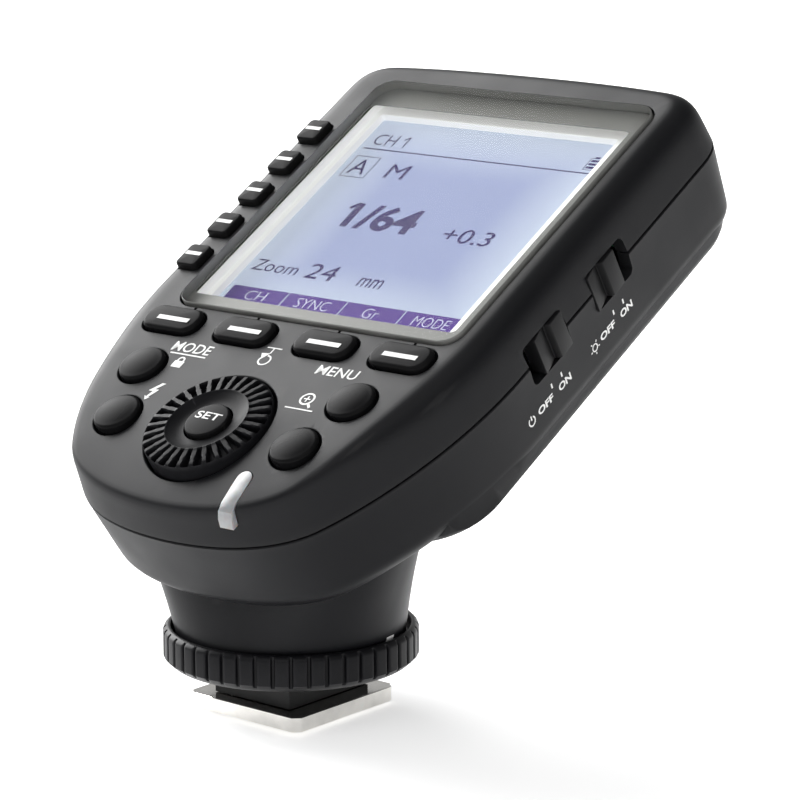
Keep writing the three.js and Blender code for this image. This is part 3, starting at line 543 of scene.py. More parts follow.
def dial():
    """A dished dial whose outer band carries radial ribs of constant width."""
    r, top, hub, dish = DIAL["r"], DIAL["top"], DIAL["hub"], DIAL["dish"]
    per_rib = 14
    sides = DIAL["ribs"] * per_rib
    profile = [(2.5, DIAL["bottom"]), (r, DIAL["bottom"]), (r, -0.35), (r, 0.15)]
    band = [(r - 0.05, 0.32), (r - 0.16, 0.46), (r - 0.34, 0.54)]
    band += [(lerp(r - 0.34, dish + 0.3, k / 7), lerp(0.54, top - 0.05, k / 7)) for k in range(1, 8)]
    band += [(dish + 0.2, top - 0.02), (dish + 0.1, top)]
    profile += band
    profile += [(dish, top - 0.03), (dish - 0.1, top - 0.1)]
    for k in range(1, 9):
        t = k / 8
        profile.append((lerp(dish - 0.1, hub, t), top - 0.1 - 0.6 * math.sin(t * math.pi / 2)))
    profile += [(hub, -1.9), (2.5, -1.9)]
    ribbed = {p[0]: p for p in band}
    rings = []
    for radius, z in profile:
        ring = []
        for i in range(sides):
            a = 2 * math.pi * i / sides
            height = z
            if radius in ribbed and dish + 0.15 < radius < r - 0.1:
                pitch = 2 * math.pi * radius / DIAL["ribs"]
                across = abs((i % per_rib) / per_rib - 0.5) * pitch
                groove = smoothstep(0.3, 0.42, across)
                depth = lerp(0.7, 1.1, (radius - dish) / (r - dish))
                height -= groove * depth * (1 - smoothstep(r - 0.3, r - 0.08, radius))
            ring.append((radius * math.cos(a), radius * math.sin(a), height))
        rings.append(ring)
    return skin(rings, loop=True)


def set_height(x, y):
    """The height of the set key's crowned top."""
    rim = min(math.hypot(x, y) / SET_R, 1)
    return SET_TOP - 0.16 * rim * rim


def set_key():
    edge = 0.3
    rim = SET_R - edge
    shoulder = set_height(rim, 0) - edge
    profile = [(0, -5.4), (2.2, -5.4), (2.2, -1), (SET_R, -1), (SET_R, shoulder)]
    profile += [(rim + edge * math.cos(a), shoulder + edge * math.sin(a)) for a in arc(6)[1:]]
    profile += [(rim * (1 - k / 7), set_height(rim * (1 - k / 7), 0)) for k in range(1, 7)]
    return spun([*profile, (0, SET_TOP)], 64)


def frame_rings(outer, inner, low, high, edge=0.0):
    """A flat frame between two rounded rectangles, each (w, h, r, x, y)."""
    rings = []
    for shape, z, grow in (
        (outer, low, 0), (outer, high - edge, 0), (outer, high, -edge),
        (inner, high, edge), (inner, high - edge, 0), (inner, low, 0),
    ):
        w, h, r, x, y = shape
        ring = rectangle(w + 2 * grow, h + 2 * grow, max(r + grow, 0.05), x, y)
        rings.append([(px, py, z) for px, py in ring])
    return skin(rings, loop=True)


def knob(y, at):
    """A slide switch knob with two slanted thumb faces and a ridge between them."""
    half = SWITCH["knob"] / 2
    low, high = y + at - half, y + at + half
    centre = (low + high) / 2
    faces = [
        (26.9, low), (29.35, low), (28.5, centre - 0.05),
        (29.45, centre + 0.25), (29.25, high), (26.9, high),
    ]
    rise = SWITCH["height"] / 2 - 0.2
    body = bevelled(prism(faces, SWITCH["z"] - rise, SWITCH["z"] + rise), 0.16, 3)
    return union(body, box((25.5, low + 1.6, SWITCH["z"] - 1.4), (27, high - 1.6, SWITCH["z"] + 1.4)))


# ---- Lock ring and foot ----
def lock_ring():
    """A cup-shaped ring with flat-topped teeth round it."""
    per_tooth = 16
    sides = RING["teeth"] * per_tooth
    r, low, top = RING["r"], RING["low"], RING["top"]

    def outer(i):
        across = abs((i % per_tooth) / per_tooth - 0.5) * 2
        return r - 0.45 * smoothstep(0.7, 0.9, across)

    levels = [(15.0, low), (15.25, low + 0.12), (15.75, low + 0.55), (16.2, low + 0.95), (16.2, top - 0.75)]
    levels += [(16.0, top - 0.4), (15.7, top - 0.12), (15.55, top - 0.02), (15.35, top)]
    rings = []
    for limit, z in levels:
        ring = []
        for i in range(sides):
            a = 2 * math.pi * i / sides
            radius = min(outer(i), limit)
            ring.append((radius * math.cos(a), radius * math.sin(a), z))
        rings.append(ring)
    inner = [(15.2, top - 0.04), (15.1, top - 0.2), (14.8, RING["floor"]), (RING["bore"], RING["floor"])]
    for radius, z in [*inner, (RING["bore"], low)]:
        angles = [2 * math.pi * i / sides for i in range(sides)]
        rings.append([(radius * math.cos(a), radius * math.sin(a), z) for a in angles])
    return skin(rings, loop=True)


def foot_plate():
    w, l, c = FOOT_W / 2, FOOT_L / 2, FOOT_CORNER
    edge = 0.12

    def outline(inset):
        a, b, k = w - inset, l - inset, c - inset * 0.6
        right = [(a - k, -b), (a, -b + k), (a, b - k), (a - k, b)]
        return right + [(-x, -y) for x, y in right]

    levels = [(edge, 0), (0, edge), (0, FOOT_T - edge), (edge, FOOT_T)]
    plate = skin([[(x, y, z) for x, y in outline(inset)] for inset, z in levels])
    tools = [block(11, 10.4, 0.3, 0, 0, -1, 3), rod(PIN_R + 0.15, -1, 3, 0, PIN_Y)]
    wells = []
    for x, y in FOOT_SCREWS:
        tools.append(rod(0.85, 0.5, 3, x, y))
        wells.append(spun([(1.4, -1), (1.4, 0), (1.25, 0.15), (1.25, 1.05)], 40, x, y))
    return cut(plate, together(*tools), together(*wells))


# ---- Printed marks ----
INK = 0.02


class Marks:
    """Flat ink shapes laid on a surface. surface(u, v, h) gives the point h above the surface at (u, v)."""

    def __init__(self, surface):
        self.surface, self.verts, self.faces = surface, [], []

    def prism(self, outline):
        base, n = len(self.verts), len(outline)
        for h in (0, INK):
            self.verts += [self.surface(u, v, h) for u, v in outline]
        self.faces.append(tuple(range(base, base + n))[::-1])
        self.faces.append(tuple(range(base + n, base + 2 * n)))
        for i in range(n):
            j = (i + 1) % n
            self.faces.append((base + i, base + j, base + n + j, base + n + i))

    def bar(self, u0, v0, u1, v1):
        self.prism([(u0, v0), (u1, v0), (u1, v1), (u0, v1)])

    def line(self, path, width, closed=False):
        """A stroke along a path, as one quad to each step."""
        n = len(path)
        sides = []
        for i in range(n):
            a = path[(i - 1) % n] if closed or i else path[i]
            b = path[(i + 1) % n] if closed or i < n - 1 else path[i]
            du, dv = b[0] - a[0], b[1] - a[1]
            size = math.hypot(du, dv)
            nu, nv = -dv / size * width / 2, du / size * width / 2
            sides.append(((path[i][0] + nu, path[i][1] + nv), (path[i][0] - nu, path[i][1] - nv)))
        base = len(self.verts)
        for left, right in sides:
            self.verts += [self.surface(*left, 0), self.surface(*right, 0)]
            self.verts += [self.surface(*right, INK), self.surface(*left, INK)]
        for i in range(n if closed else n - 1):
            a, b = base + 4 * i, base + 4 * ((i + 1) % n)
            for k in range(4):
                self.faces.append((a + k, a + (k + 1) % 4, b + (k + 1) % 4, b + k))
        if not closed:
            self.faces.append((base + 3, base + 2, base + 1, base))
            end = base + 4 * (n - 1)
            self.faces.append((end, end + 1, end + 2, end + 3))

    def circle(self, u, v, r, width, start=0.0, end=2 * math.pi, steps=28):
        whole = end - start >= 2 * math.pi
        angles = arc(steps, start, end)[: -1 if whole else None]
        self.line([(u + r * math.cos(a), v + r * math.sin(a)) for a in angles], width, whole)

    def text(self, words, u0, v0, u1, v1, bold=0.0):
        """Words in the built-in font, fitted to a box."""
        curve = bpy.data.curves.new("text", "FONT")
        curve.body, curve.extrude, curve.offset, curve.resolution_u = words, 0.5, bold, 4
        source = bpy.data.objects.new("text", curve)
        bpy.context.scene.collection.objects.link(source)
        bpy.context.view_layer.update()
        graph = bpy.context.evaluated_depsgraph_get()
        mesh = bpy.data.meshes.new_from_object(source.evaluated_get(graph))
        bpy.data.objects.remove(source)
        work = bmesh.new()
        work.from_mesh(mesh)
        bmesh.ops.remove_doubles(work, verts=work.verts, dist=1e-5)
        work.to_mesh(mesh)
        work.free()
        low = [min(p.co[k] for p in mesh.vertices) for k in (0, 1)]
        high = [max(p.co[k] for p in mesh.vertices) for k in (0, 1)]
        base = len(self.verts)
        for p in mesh.vertices:
            u = lerp(u0, u1, (p.co.x - low[0]) / (high[0] - low[0]))
            v = lerp(v0, v1, (p.co.y - low[1]) / (high[1] - low[1]))
            self.verts.append(self.surface(u, v, INK if p.co.z > 0 else 0))
        self.faces += [tuple(base + k for k in face.vertices) for face in mesh.polygons]

    def made(self):
        return solid(self.verts, self.faces)


def on_panel(u, v, h):
    return (u, v, h - drop(v) + 0.004)


def on_wall(u, v, h):
    return (HALF_WIDTH - wall_inset(v) + h + 0.004, u, v)


def on_neck(u, v, h):
    """u is an angle in degrees round the neck, v a height above the foot."""
    a, low, level = math.radians(u), NECK["low"], NECK["top"]
    foot, head = (neck_point(a, t, 0, low, level)[2] for t in (0, 1))
    return neck_point(a, (v - foot) / (head - foot), h + 0.01, low, level)


def padlock(marks, u, v, size):
    marks.bar(u - size * 0.42, v - size * 0.5, u + size * 0.42, v + size * 0.12)
    bow = [(-0.24, 0.1)]
    bow += [(-0.24 * math.cos(a), 0.24 + 0.24 * math.sin(a)) for a in arc(10, 0, math.pi)]
    marks.line([(u + size * a, v + size * b) for a, b in [*bow, (0.24, 0.1)]], size * 0.13)


def bolt(marks, u, v, size):
    shape = [(0.1, 0.5), (-0.28, -0.02), (-0.04, -0.02), (-0.16, -0.36), (-0.27, -0.33)]
    shape += [(-0.12, -0.56), (0.06, -0.38), (-0.04, -0.38), (0.22, 0.1), (0.0, 0.1), (0.3, 0.5)]
    marks.prism([(u + a * size, v + b * size) for a, b in shape])


def panel_marks():
    marks = Marks(on_panel)
    marks.text("MODE", -15.6, 11.15, -9.2, 12.9, 0.006)
    marks.bar(-15.2, 10.62, -9.2, 10.84)
    padlock(marks, -12.5, 9.25, 1.9)
    bolt(marks, -12.3, 3.7, 3.0)
    marks.text("MENU", 8.5, 11.3, 14.9, 12.95, 0.006)
    marks.circle(10.8, 6.9, 0.95, 0.26)
    marks.bar(10.3, 6.81, 11.3, 6.99)
    marks.bar(10.71, 6.4, 10.89, 7.4)
    marks.line([(11.45, 6.2), (12.1, 5.5)], 0.34)
    marks.bar(8.6, 4.92, 13.0, 5.12)
    marks.bar(-1.5, 14.32, 0.9, 14.5)
    marks.bar(-0.4, 13.4, -0.22, 14.32)
    marks.circle(-0.3, 12.1, 0.85, 0.24, math.radians(-215), math.radians(95))
    marks.prism([(-0.98, 12.2), (-0.3, 13.4), (-1.6, 13.25)])
    return marks.made()


def side_marks():
    marks = Marks(on_wall)
    for shift in (0, 14.45):
        marks.text("OFF", 24.6 + shift, -14.45, 27.9 + shift, -13.4, 0.03)
        marks.text("ON", 29.3 + shift, -14.5, 32.0 + shift, -13.4, 0.03)
        for v in (28.2, 30.45):
            marks.bar(v - 0.13 + shift, -12.9, v + 0.13 + shift, -12.2)
    marks.circle(23.1, -14.0, 0.62, 0.2, math.radians(125), math.radians(415))
    marks.bar(23.0, -13.9, 23.2, -13.2)
    marks.circle(37.6, -14.15, 0.5, 0.18)
    for k in range(5):
        a = math.radians(72 * k + 55)
        ends = [(37.6 + r * math.cos(a), -14.15 + r * math.sin(a)) for r in (0.72, 1.02)]
        marks.line(ends, 0.17)
    return marks.made()


def on_lcd(u, v, h):
    return (u, v, LCD_Z + 0.004 + h)


def lcd_marks():
    dark = Marks(on_lcd)
    dark.bar(-19.4, 57.5, 19.4, 57.7)
    dark.text("CH 1", -18.8, 58.5, -13.2, 60.8, -0.012)
    dark.line([(-19.2, 51.5), (-15.1, 51.5), (-15.1, 55.9), (-19.2, 55.9)], 0.14, True)
    dark.text("A", -18.6, 52.2, -15.8, 55.2)
    dark.text("M", -12.1, 52.1, -8.9, 55.0)
    dark.text("1/64", -11.9, 41.6, -0.2, 46.7, 0.03)
    dark.line([(-12.75, 45.35), (-11.5, 46.55)], 0.62)
    dark.line([(-14.05, 60.05), (-13.3, 60.72)], 0.2)
    dark.text("+0.3", 5.1, 41.4, 13.0, 44.2)
    dark.text("Zoom", -19.3, 31.2, -11.7, 33.4, -0.005)
    dark.text("24", -10.2, 31.1, -5.3, 34.0)
    dark.text("mm", -1.1, 31.0, 2.8, 32.7)
    dark.line([(17.0, 58.3), (18.7, 58.3), (18.7, 60.7), (17.0, 60.7)], 0.12, True)
    dark.bar(17.5, 60.75, 18.2, 61.0)
    for k in range(3):
        dark.bar(17.25, 58.6 + 0.68 * k, 18.45, 59.0 + 0.68 * k)
    keys = Marks(on_lcd)
    edges = (-19.4, -9.8, 0.1, 9.8, 19.4)
    for a, b in zip(edges, edges[1:]):
        keys.bar(a + (0.1 if a > -19 else 0), 24.9, b - (0.1 if b < 19 else 0), 27.9)
    labels = Marks(lambda u, v, h: on_lcd(u, v, h + INK + 0.004))
    for words, a, b in (("CH", -16.3, -12.9), ("SYNC", -7.6, -2.0), ("Gr", 3.7, 6.2), ("MODE", 11.9, 17.6)):
        labels.text(words, a, 25.5, b, 27.3, -0.012)
    return dark.made(), keys.made(), labels.made()


# ---- Materials ----
def material(name):
    made = bpy.data.materials.new(name)
    made.use_nodes = True
    nodes, links = made.node_tree.nodes, made.node_tree.links
    shader = nodes["Principled BSDF"]
    coords = nodes.new("ShaderNodeTexCoord")
    return made, nodes, links, shader, coords.outputs["Object"]


def noise(nodes, links, coords, scale, detail=2.0, roughness=0.5):
    made = nodes.new("ShaderNodeTexNoise")
    made.inputs["Scale"].default_value = scale
    made.inputs["Detail"].default_value = detail
    made.inputs["Roughness"].default_value = roughness
    links.new(coords, made.inputs["Vector"])
    return made.outputs["Fac"]


def ranged(nodes, links, value, low, high, start=0.3, end=0.7):
    made = nodes.new("ShaderNodeMapRange")
    made.inputs["From Min"].default_value, made.inputs["From Max"].default_value = start, end
    made.inputs["To Min"].default_value, made.inputs["To Max"].default_value = low, high
    links.new(value, made.inputs["Value"])
    return made.outputs["Result"]


def mixed(nodes, links, factor, a, b):
    made = nodes.new("ShaderNodeMix")
    made.data_type = "RGBA"
    made.inputs["A"].default_value, made.inputs["B"].default_value = (*a, 1), (*b, 1)
    links.new(factor, made.inputs["Factor"])
    return made.outputs["Result"]


def bumped(nodes, links, height, strength, distance):
    made = nodes.new("ShaderNodeBump")
    made.inputs["Strength"].default_value = strength
    made.inputs["Distance"].default_value = distance
    links.new(height, made.inputs["Height"])
    return made.outputs["Normal"]


def plastic(name, color, worn, rough, grain=0.00016, depth=0.000012, strength=0.5, spec=0.5):
    """Moulded plastic: a spark-eroded grain, cloudy gloss, and edges rubbed a little lighter."""
    made, nodes, links, shader, coords = material(name)
    fine = noise(nodes, links, coords, 1 / grain, 2.0)
    cloud = noise(nodes, links, coords, 90, 3.0)
    edge = nodes.new("ShaderNodeNewGeometry").outputs["Pointiness"]
    rubbed = ranged(nodes, links, edge, 0, 1, 0.5, 0.62)
    links.new(mixed(nodes, links, rubbed, color, worn), shader.inputs["Base Color"])
    links.new(ranged(nodes, links, cloud, rough - 0.05, rough + 0.06), shader.inputs["Roughness"])
    links.new(bumped(nodes, links, fine, strength, depth), shader.inputs["Normal"])
    shader.inputs["Specular IOR Level"].default_value = spec
    return made


def ink(name, color, rough=0.5, spec=0.5):
    """Screen print or a liquid crystal mark, slightly speckled."""
    made, nodes, links, shader, coords = material(name)
    speck = noise(nodes, links, coords, 5000, 2.0)
    darker = tuple(c * 0.86 for c in color)
    links.new(mixed(nodes, links, ranged(nodes, links, speck, 0, 1), darker, color), shader.inputs["Base Color"])
    links.new(ranged(nodes, links, speck, rough - 0.08, rough + 0.08), shader.inputs["Roughness"])
    links.new(bumped(nodes, links, speck, 0.2, 0.000008), shader.inputs["Normal"])
    shader.inputs["Specular IOR Level"].default_value = spec
    return made


def metal(name, color, rough, stretch=(1, 1, 1), depth=0.000004):
    """Metal with fine directional brushing and faint tarnish."""
    made, nodes, links, shader, coords = material(name)
    mapping = nodes.new("ShaderNodeMapping")
    mapping.inputs["Scale"].default_value = stretch
    links.new(coords, mapping.inputs["Vector"])
    brushed = noise(nodes, links, mapping.outputs["Vector"], 4000, 3.0)
    cloud = noise(nodes, links, coords, 260, 3.0)
    dull = tuple(c * 0.8 for c in color)
    tarnish = ranged(nodes, links, cloud, 0, 1)
    links.new(mixed(nodes, links, tarnish, color, dull), shader.inputs["Base Color"])
    links.new(ranged(nodes, links, brushed, rough - 0.04, rough + 0.05), shader.inputs["Roughness"])
    links.new(bumped(nodes, links, brushed, 0.35, depth), shader.inputs["Normal"])
    shader.inputs["Metallic"].default_value = 1.0
    return made


case_black = plastic("case_black", (0.0055, 0.0057, 0.007), (0.014, 0.014, 0.015), 0.42, spec=0.16)
key_tones = ((0.005, 0.005, 0.0055), (0.015, 0.015, 0.015))
key_black = plastic("key_black", *key_tones, 0.26, grain=0.0006, depth=0.000006, strength=0.25, spec=0.03)
dial_black = plastic("dial_black", (0.005, 0.005, 0.006), (0.018, 0.018, 0.02), 0.36, spec=0.06)
ring_black = plastic("ring_black", (0.004, 0.004, 0.005), (0.014, 0.014, 0.016), 0.34, spec=0.14)
block_black = plastic("block_black", (0.005, 0.005, 0.006), (0.015, 0.015, 0.015), 0.5, spec=0.25)
knob_black = plastic("knob_black", (0.004, 0.004, 0.0045), (0.014, 0.014, 0.015), 0.42, spec=0.14)
white_print = ink("white_print", (0.86, 0.86, 0.85))
# The lens border's grey is partly its print and partly painted glare: the window's sheen is painted into the
# print's tone, since the pane itself reflects little.
border_print_and_glare = ink("border_print_and_glare", (0.165, 0.165, 0.157), 0.35)
lens_edge = plastic("lens_edge", (0.15, 0.15, 0.143), (0.18, 0.18, 0.172), 0.35, spec=0.5)
bezel_white = plastic("bezel_white", (0.74, 0.74, 0.75), (0.8, 0.8, 0.8), 0.45)
lit = bezel_white.node_tree.nodes["Principled BSDF"].inputs  # by what spills from the backlight
lit["Emission Color"].default_value = (0.8, 0.79, 0.78, 1)
lit["Emission Strength"].default_value = 0.32
lcd_ink = ink("lcd_ink", (0.062, 0.048, 0.16), 0.4, 0.02)
softkey_ink = ink("softkey_ink", (0.125, 0.07, 0.33), 0.4, 0.02)
label_ink = ink("label_ink", (0.66, 0.67, 0.88), 0.4, 0.02)
nickel = metal("nickel", (0.80, 0.785, 0.75), 0.1, (1, 14, 14), 0.0000015)
gold = metal("gold", (0.83, 0.62, 0.28), 0.22)
zinc = metal("zinc", (0.62, 0.62, 0.61), 0.3)


def pane_material():
    """Clear acrylic with a coating that takes most of the glare off."""
    made, nodes, links, shader, coords = material("clear_acrylic")
    nodes.remove(shader)
    faint = noise(nodes, links, coords, 120, 2.0)
    clear = nodes.new("ShaderNodeBsdfTransparent")
    clear.inputs["Color"].default_value = (0.97, 0.975, 0.965, 1)
    gloss = nodes.new("ShaderNodeBsdfGlossy")
    links.new(ranged(nodes, links, faint, 0.03, 0.08), gloss.inputs["Roughness"])
    edge_on = nodes.new("ShaderNodeLayerWeight")
    both = nodes.new("ShaderNodeMixShader")
    links.new(ranged(nodes, links, edge_on.outputs["Facing"], 0.002, 0.03, 0.45, 1.0), both.inputs[0])
    links.new(clear.outputs["BSDF"], both.inputs[1])
    links.new(gloss.outputs["BSDF"], both.inputs[2])
    links.new(both.outputs["Shader"], nodes["Material Output"].inputs["Surface"])
    return made


def lcd_material():
    """A lit blue-grey liquid crystal layer with a faint dot grid, paler towards its edges."""
    made, nodes, links, shader, coords = material("lcd_glass")
    mapping = nodes.new("ShaderNodeMapping")
    mapping.vector_type = "TEXTURE"
    centre = (HEAD @ Vector((0, SCREEN_Y, LCD_Z))) * MM
    mapping.inputs["Location"].default_value = centre
    mapping.inputs["Rotation"].default_value = (TILT, 0, 0)
    mapping.inputs["Scale"].default_value = (0.0201, 0.0193, 1)
    links.new(coords, mapping.inputs["Vector"])
    split = nodes.new("ShaderNodeSeparateXYZ")
    links.new(mapping.outputs["Vector"], split.inputs["Vector"])
    edges = []
    for axis in ("X", "Y"):
        size = nodes.new("ShaderNodeMath")
        size.operation = "ABSOLUTE"
        links.new(split.outputs[axis], size.inputs[0])
        edges.append(ranged(nodes, links, size.outputs[0], 0, 1, 0.5, 1.15))
    near = nodes.new("ShaderNodeMath")
    near.operation = "MAXIMUM"
    for k, value in enumerate(edges):
        links.new(value, near.inputs[k])
    grain = noise(nodes, links, coords, 2600, 1.0)
    base = mixed(nodes, links, near.outputs[0], (0.18, 0.205, 0.33), (0.36, 0.4, 0.47))
    links.new(base, shader.inputs["Base Color"])
    links.new(base, shader.inputs["Emission Color"])
    shader.inputs["Emission Strength"].default_value = 0.9
    shader.inputs["Specular IOR Level"].default_value = 0.03
    links.new(ranged(nodes, links, grain, 0.4, 0.5), shader.inputs["Roughness"])
    return made


def pipe_material():
    """Milky polycarbonate."""
    made, nodes, links, shader, coords = material("clear_pipe")
    milk = noise(nodes, links, coords, 700, 2.0)
    tint = mixed(nodes, links, ranged(nodes, links, milk, 0, 1), (0.3, 0.31, 0.32), (0.38, 0.39, 0.4))
    links.new(tint, shader.inputs["Base Color"])
    links.new(ranged(nodes, links, milk, 0.16, 0.26), shader.inputs["Roughness"])
    shader.inputs["Transmission Weight"].default_value = 0.25
    shader.inputs["Subsurface Weight"].default_value = 0.4
    shader.inputs["Subsurface Scale"].default_value = 0.002
    shader.inputs["Coat Weight"].default_value = 0.6
    return made


def lamp_material():
    """Clear red acrylic over a dark cavity."""
    made, nodes, links, shader, coords = material("lamp_red")
    tint = mixed(nodes, links, noise(nodes, links, coords, 600), (0.10, 0.004, 0.008), (0.16, 0.008, 0.012))
    links.new(tint, shader.inputs["Base Color"])
    links.new(ranged(nodes, links, noise(nodes, links, coords, 200), 0.06, 0.12), shader.inputs["Roughness"])
    shader.inputs["Coat Weight"].default_value = 0.8
    return made


# ---- Pieces ----
piece(upper_case(), "upper_shell", case_black, replaces=["upper_case"])
piece(lower_case(), "lower_shell", case_black, replaces=["lower_case"])


def lens_shape(inset):
    """The lens's outline set in by inset, as (w, h, r, x, y)."""
    return (LENS["w"] - 2 * inset, LENS["h"] - 2 * inset, LENS["r"] - inset, LENS["x"], LENS["y"])


def lens_border():
    """The printed border, on the lens's underside. Its grey is partly print and partly painted glare."""
    opening = (OPENING["w"], OPENING["h"], OPENING["r"], OPENING["x"], OPENING["y"])
    return frame_rings(lens_shape(0.15), opening, LENS["low"] + 0.12, LENS["low"] + 0.2)


def lens_pane():
    """The lens with a rounded rim. The flat rings on top keep the rim's shading off the middle."""
    levels = [(0, LENS["low"] + 0.09), (0, 0.22), (0.04, 0.34), (0.14, 0.44), (0.3, LENS["top"])]
    levels += [(0.6, LENS["top"]), (1.6, LENS["top"])]
    return skin([[(x, y, z) for x, y in rectangle(*lens_shape(inset), 10)] for inset, z in levels])


def white_tray():
    """The bezel round the LCD, with a rim that stands up to the lens."""
    visible = (39.7, 39.75, 0.3, -0.25, 43.675)
    flat = frame_rings(lens_shape(0.55), visible, -3.2, -2.25, 0.1)
    return union(flat, frame_rings(lens_shape(0.55), lens_shape(0.85), -3.0, LENS["low"] - 0.05))


piece(lens_border(), "display_border", border_print_and_glare, replaces=["display_window"])
pane = piece(lens_pane(), "display_pane", pane_material(), replaces=["display_window"])
pane.data.materials.append(lens_edge)
outward = HEAD.to_3x3() @ Vector((0, 0, 1))
for face in pane.data.polygons:
    face.material_index = 0 if abs(face.normal.dot(outward)) > 0.9 else 1
piece(white_tray(), "inner_bezel", bezel_white, replaces=["display_bezel"])
glass = block(42.6, 41.6, 0.5, 0, SCREEN_Y, -4.7, LCD_Z, 0.05)
piece(glass, "lcd_glass", lcd_material(), replaces=["lcd_panel"], angle=10)
lcd_looks = {"lcd_segments": lcd_ink, "lcd_softkeys": softkey_ink, "lcd_labels": label_ink}
for made, (name, look) in zip(lcd_marks(), lcd_looks.items()):
    piece(made, name, look)

for i, x in enumerate(FUNCTION["xs"], 1):
    y, top = FUNCTION["y"], FUNCTION["top"]
    key = cap(FUNCTION["w"], FUNCTION["h"], FUNCTION["r"], x, y, -2.9, top, 0.55, 0.16, 0.45)
    body = f"function_button_{i}"
    piece(key, f"function_key_{i}", key_black, body, replaces=[body])
    marks = Marks(lambda u, v, h: (u, v, top - 0.02 + h))
    middle = MARK_XS[i - 1]
    marks.bar(middle - 2.65, y - 0.8, middle + 2.65, y - 0.05)
    piece(marks.made(), f"function_mark_{i}", white_print, body)

for name, at in ROUND_KEYS.items():
    key_name = name.replace("button", "key")
    piece(round_key(*at), key_name, key_black, name, replaces=[name])

for i in range(GROUP["count"]):
    y, body = group_y(i), f"group_button_{i + 1}"
    key = cap(GROUP["w"], GROUP["h"], GROUP["r"], GROUP["x"], y, -1, GROUP["top"], 0.3, 0.08)
    key = union(key, block(2, 2.2, 0.4, GROUP["x"], y, -3, -0.5))
    piece(key, f"group_key_{i + 1}", key_black, body, replaces=[body])
    marks = Marks(lambda u, v, h: (u, v, GROUP["top"] - 0.02 + h))
    marks.bar(GROUP["x"] - 1.3, y - 0.2, GROUP["x"] + 1.3, y + 0.45)
    piece(marks.made(), f"group_mark_{i + 1}", white_print, body)

body = "control_dial"
piece(dial(), "ribbed_dial", dial_black, body, replaces=[body], angle=38)
piece(set_key(), "set_key", key_black, "set_button", replaces=["set_button"])
marks = Marks(lambda u, v, h: (u, v, set_height(u, v) + 0.008 + h))
marks.text("SET", -2.0, -0.1, 1.9, 1.15, 0.01)
piece(marks.made(), "set_mark", white_print, "set_button")

pipe = bevelled(pipe_solid(0), 0.18, 3, 25)
piece(pipe, "light_pipe", pipe_material(), replaces=["status_light_pipe"])
piece(panel_marks(), "panel_marks", white_print)
piece(side_marks(), "side_marks", white_print)

marks = Marks(on_neck)
marks.bar(4.5, 10.45, 11, 11.1)
piece(marks.made(), "index_mark", white_print, frame_of=FOOT)

for name, y, at in (("power", POWER_Y, THROW / 2), ("lamp", LAMP_Y, -THROW / 2)):
    body, node = f"{name}_switch", f"{name}_switch_knob"
    piece(knob(y, at), f"{name}_knob", knob_black, body, replaces=[node], angle=25)

piece(lock_ring(), "knurled_ring", ring_black, "lock_ring", FOOT, ["lock_ring"])
piece(foot_plate(), "shoe_plate", nickel, "housing", FOOT, ["foot_plate"])

lamp = common(lamp_prism(0), box((-30, 3, 0), (30, 40, 60)), neck(0.5, NECK["low"], NECK["top"]))
lamp = cut(lamp, neck(-1.3, NECK["low"] - 1, -17))
piece(lamp, "lamp_window", lamp_material(), "housing", FOOT, ["focus_lamp_window"])

# The CAD nodes that stay: each look by node name, then the nodes that share one. All others are zinc.
LOOKS = {
    "lcd_backlight": bezel_white,
    "main_board": plastic("board_green", (0.02, 0.11, 0.05), (0.05, 0.2, 0.1), 0.5),
    "keypad_membrane": plastic("rubber_grey", (0.09, 0.09, 0.1), (0.12, 0.12, 0.13), 0.7),
    "battery_1": plastic("sleeve_blue", (0.03, 0.12, 0.3), (0.1, 0.2, 0.4), 0.35),
    "door_hinge_pin": zinc,
    "usb_socket": nickel,
    "focus_lamp_led": plastic("led_red", (0.4, 0.02, 0.02), (0.5, 0.05, 0.05), 0.2),
    "antenna": gold,
    "centre_contact": gold,
    "locking_pin": nickel,
    "battery_door": case_black,
    "dial_encoder": block_black,
}
SAME = {
    "side_keypad_membrane": "keypad_membrane", "radio_board": "main_board", "battery_2": "battery_1",
    "door_latch": "battery_door", "sync_jack": "dial_encoder", "foot_block": "dial_encoder",
    "pressure_plate": "dial_encoder",
}
for name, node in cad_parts.items():
    if node.hide_render:
        continue
    key = SAME.get(name, name)
    if name.startswith("data_contact"):
        key = "centre_contact"
    look = LOOKS.get(key, zinc)
    node.data.materials.clear()
    node.data.materials.append(look)
    weld = node.modifiers.new("weld", "WELD")
    weld.merge_threshold = 1e-6
    edge = node.modifiers.new("edge", "BEVEL")
    edge.width, edge.segments, edge.limit_method = 0.00008, 2, "ANGLE"
    edge.angle_limit = math.radians(40)

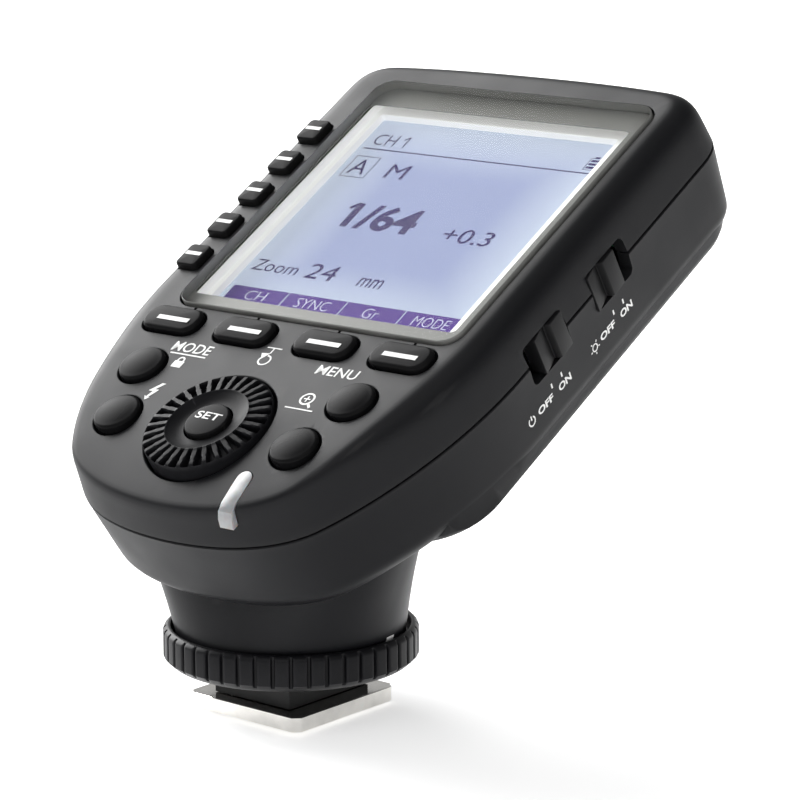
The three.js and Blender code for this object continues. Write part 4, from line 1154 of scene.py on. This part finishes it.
# ---- Stage ----
floor = solid([(-6, -6, 0), (6, -6, 0), (6, 6, 0), (-6, 6, 0)], [(0, 1, 2, 3)])
floor.name = "floor"
floor.location.z = -0.0005
paper, nodes, links, shader, coords = material("paper")
tint = mixed(nodes, links, noise(nodes, links, coords, 3), (0.93, 0.93, 0.93), (0.96, 0.96, 0.96))
links.new(tint, shader.inputs["Base Color"])
shader.inputs["Roughness"].default_value = 0.9
shader.inputs["Emission Color"].default_value = (1, 1, 1, 1)
shader.inputs["Emission Strength"].default_value = 0.5
floor.data.materials.append(paper)

world = bpy.data.worlds.new("studio")
world.use_nodes = True
bpy.context.scene.world = world
nodes, links = world.node_tree.nodes, world.node_tree.links
way = nodes.new("ShaderNodeTexCoord").outputs["Generated"]


def softbox(toward, inner, outer, radiance):
    """The light of a round soft-edged source in that direction; inner and outer are half angles in degrees."""
    facing = nodes.new("ShaderNodeVectorMath")
    facing.operation = "DOT_PRODUCT"
    links.new(way, facing.inputs[0])
    facing.inputs[1].default_value = Vector(toward).normalized()
    fall = nodes.new("ShaderNodeMapRange")
    fall.interpolation_type = "SMOOTHSTEP"
    fall.inputs["From Min"].default_value = math.cos(math.radians(outer))
    fall.inputs["From Max"].default_value = math.cos(math.radians(inner))
    fall.inputs["To Max"].default_value = radiance
    links.new(facing.outputs["Value"], fall.inputs["Value"])
    return fall.outputs["Result"]


split = nodes.new("ShaderNodeSeparateXYZ")
links.new(way, split.inputs["Vector"])
sky = ranged(nodes, links, split.outputs["Z"], 0.8, 0.2, 0.05, 0.5)
for light in (softbox((-0.84, 0.1, 0.54), 6, 34, 9.0), softbox((0.3, -0.5, 0.85), 5, 40, 1.2)):
    total = nodes.new("ShaderNodeMath")
    links.new(sky, total.inputs[0])
    links.new(light, total.inputs[1])
    sky = total.outputs["Value"]
links.new(sky, nodes["Background"].inputs["Strength"])
nodes["Background"].inputs["Color"].default_value = (1, 1, 1, 1)

camera = bpy.data.cameras.new("camera")
camera.lens, camera.sensor_width, camera.clip_start = 155.5, 36, 0.01
viewer = bpy.data.objects.new("camera", camera)
bpy.context.scene.collection.objects.link(viewer)
right = Vector((0.76199, 0.64756, -0.00563))
up = Vector((-0.13364, 0.16575, 0.97707))
basis = Matrix((right, up, right.cross(up))).transposed().to_4x4()
stand = Vector((282.75, -310.47, 130.60)) * MM
viewer.matrix_world = Matrix.Translation(stand) @ basis
bpy.context.scene.camera = viewer
bpy.context.scene.view_settings.view_transform = "Standard"
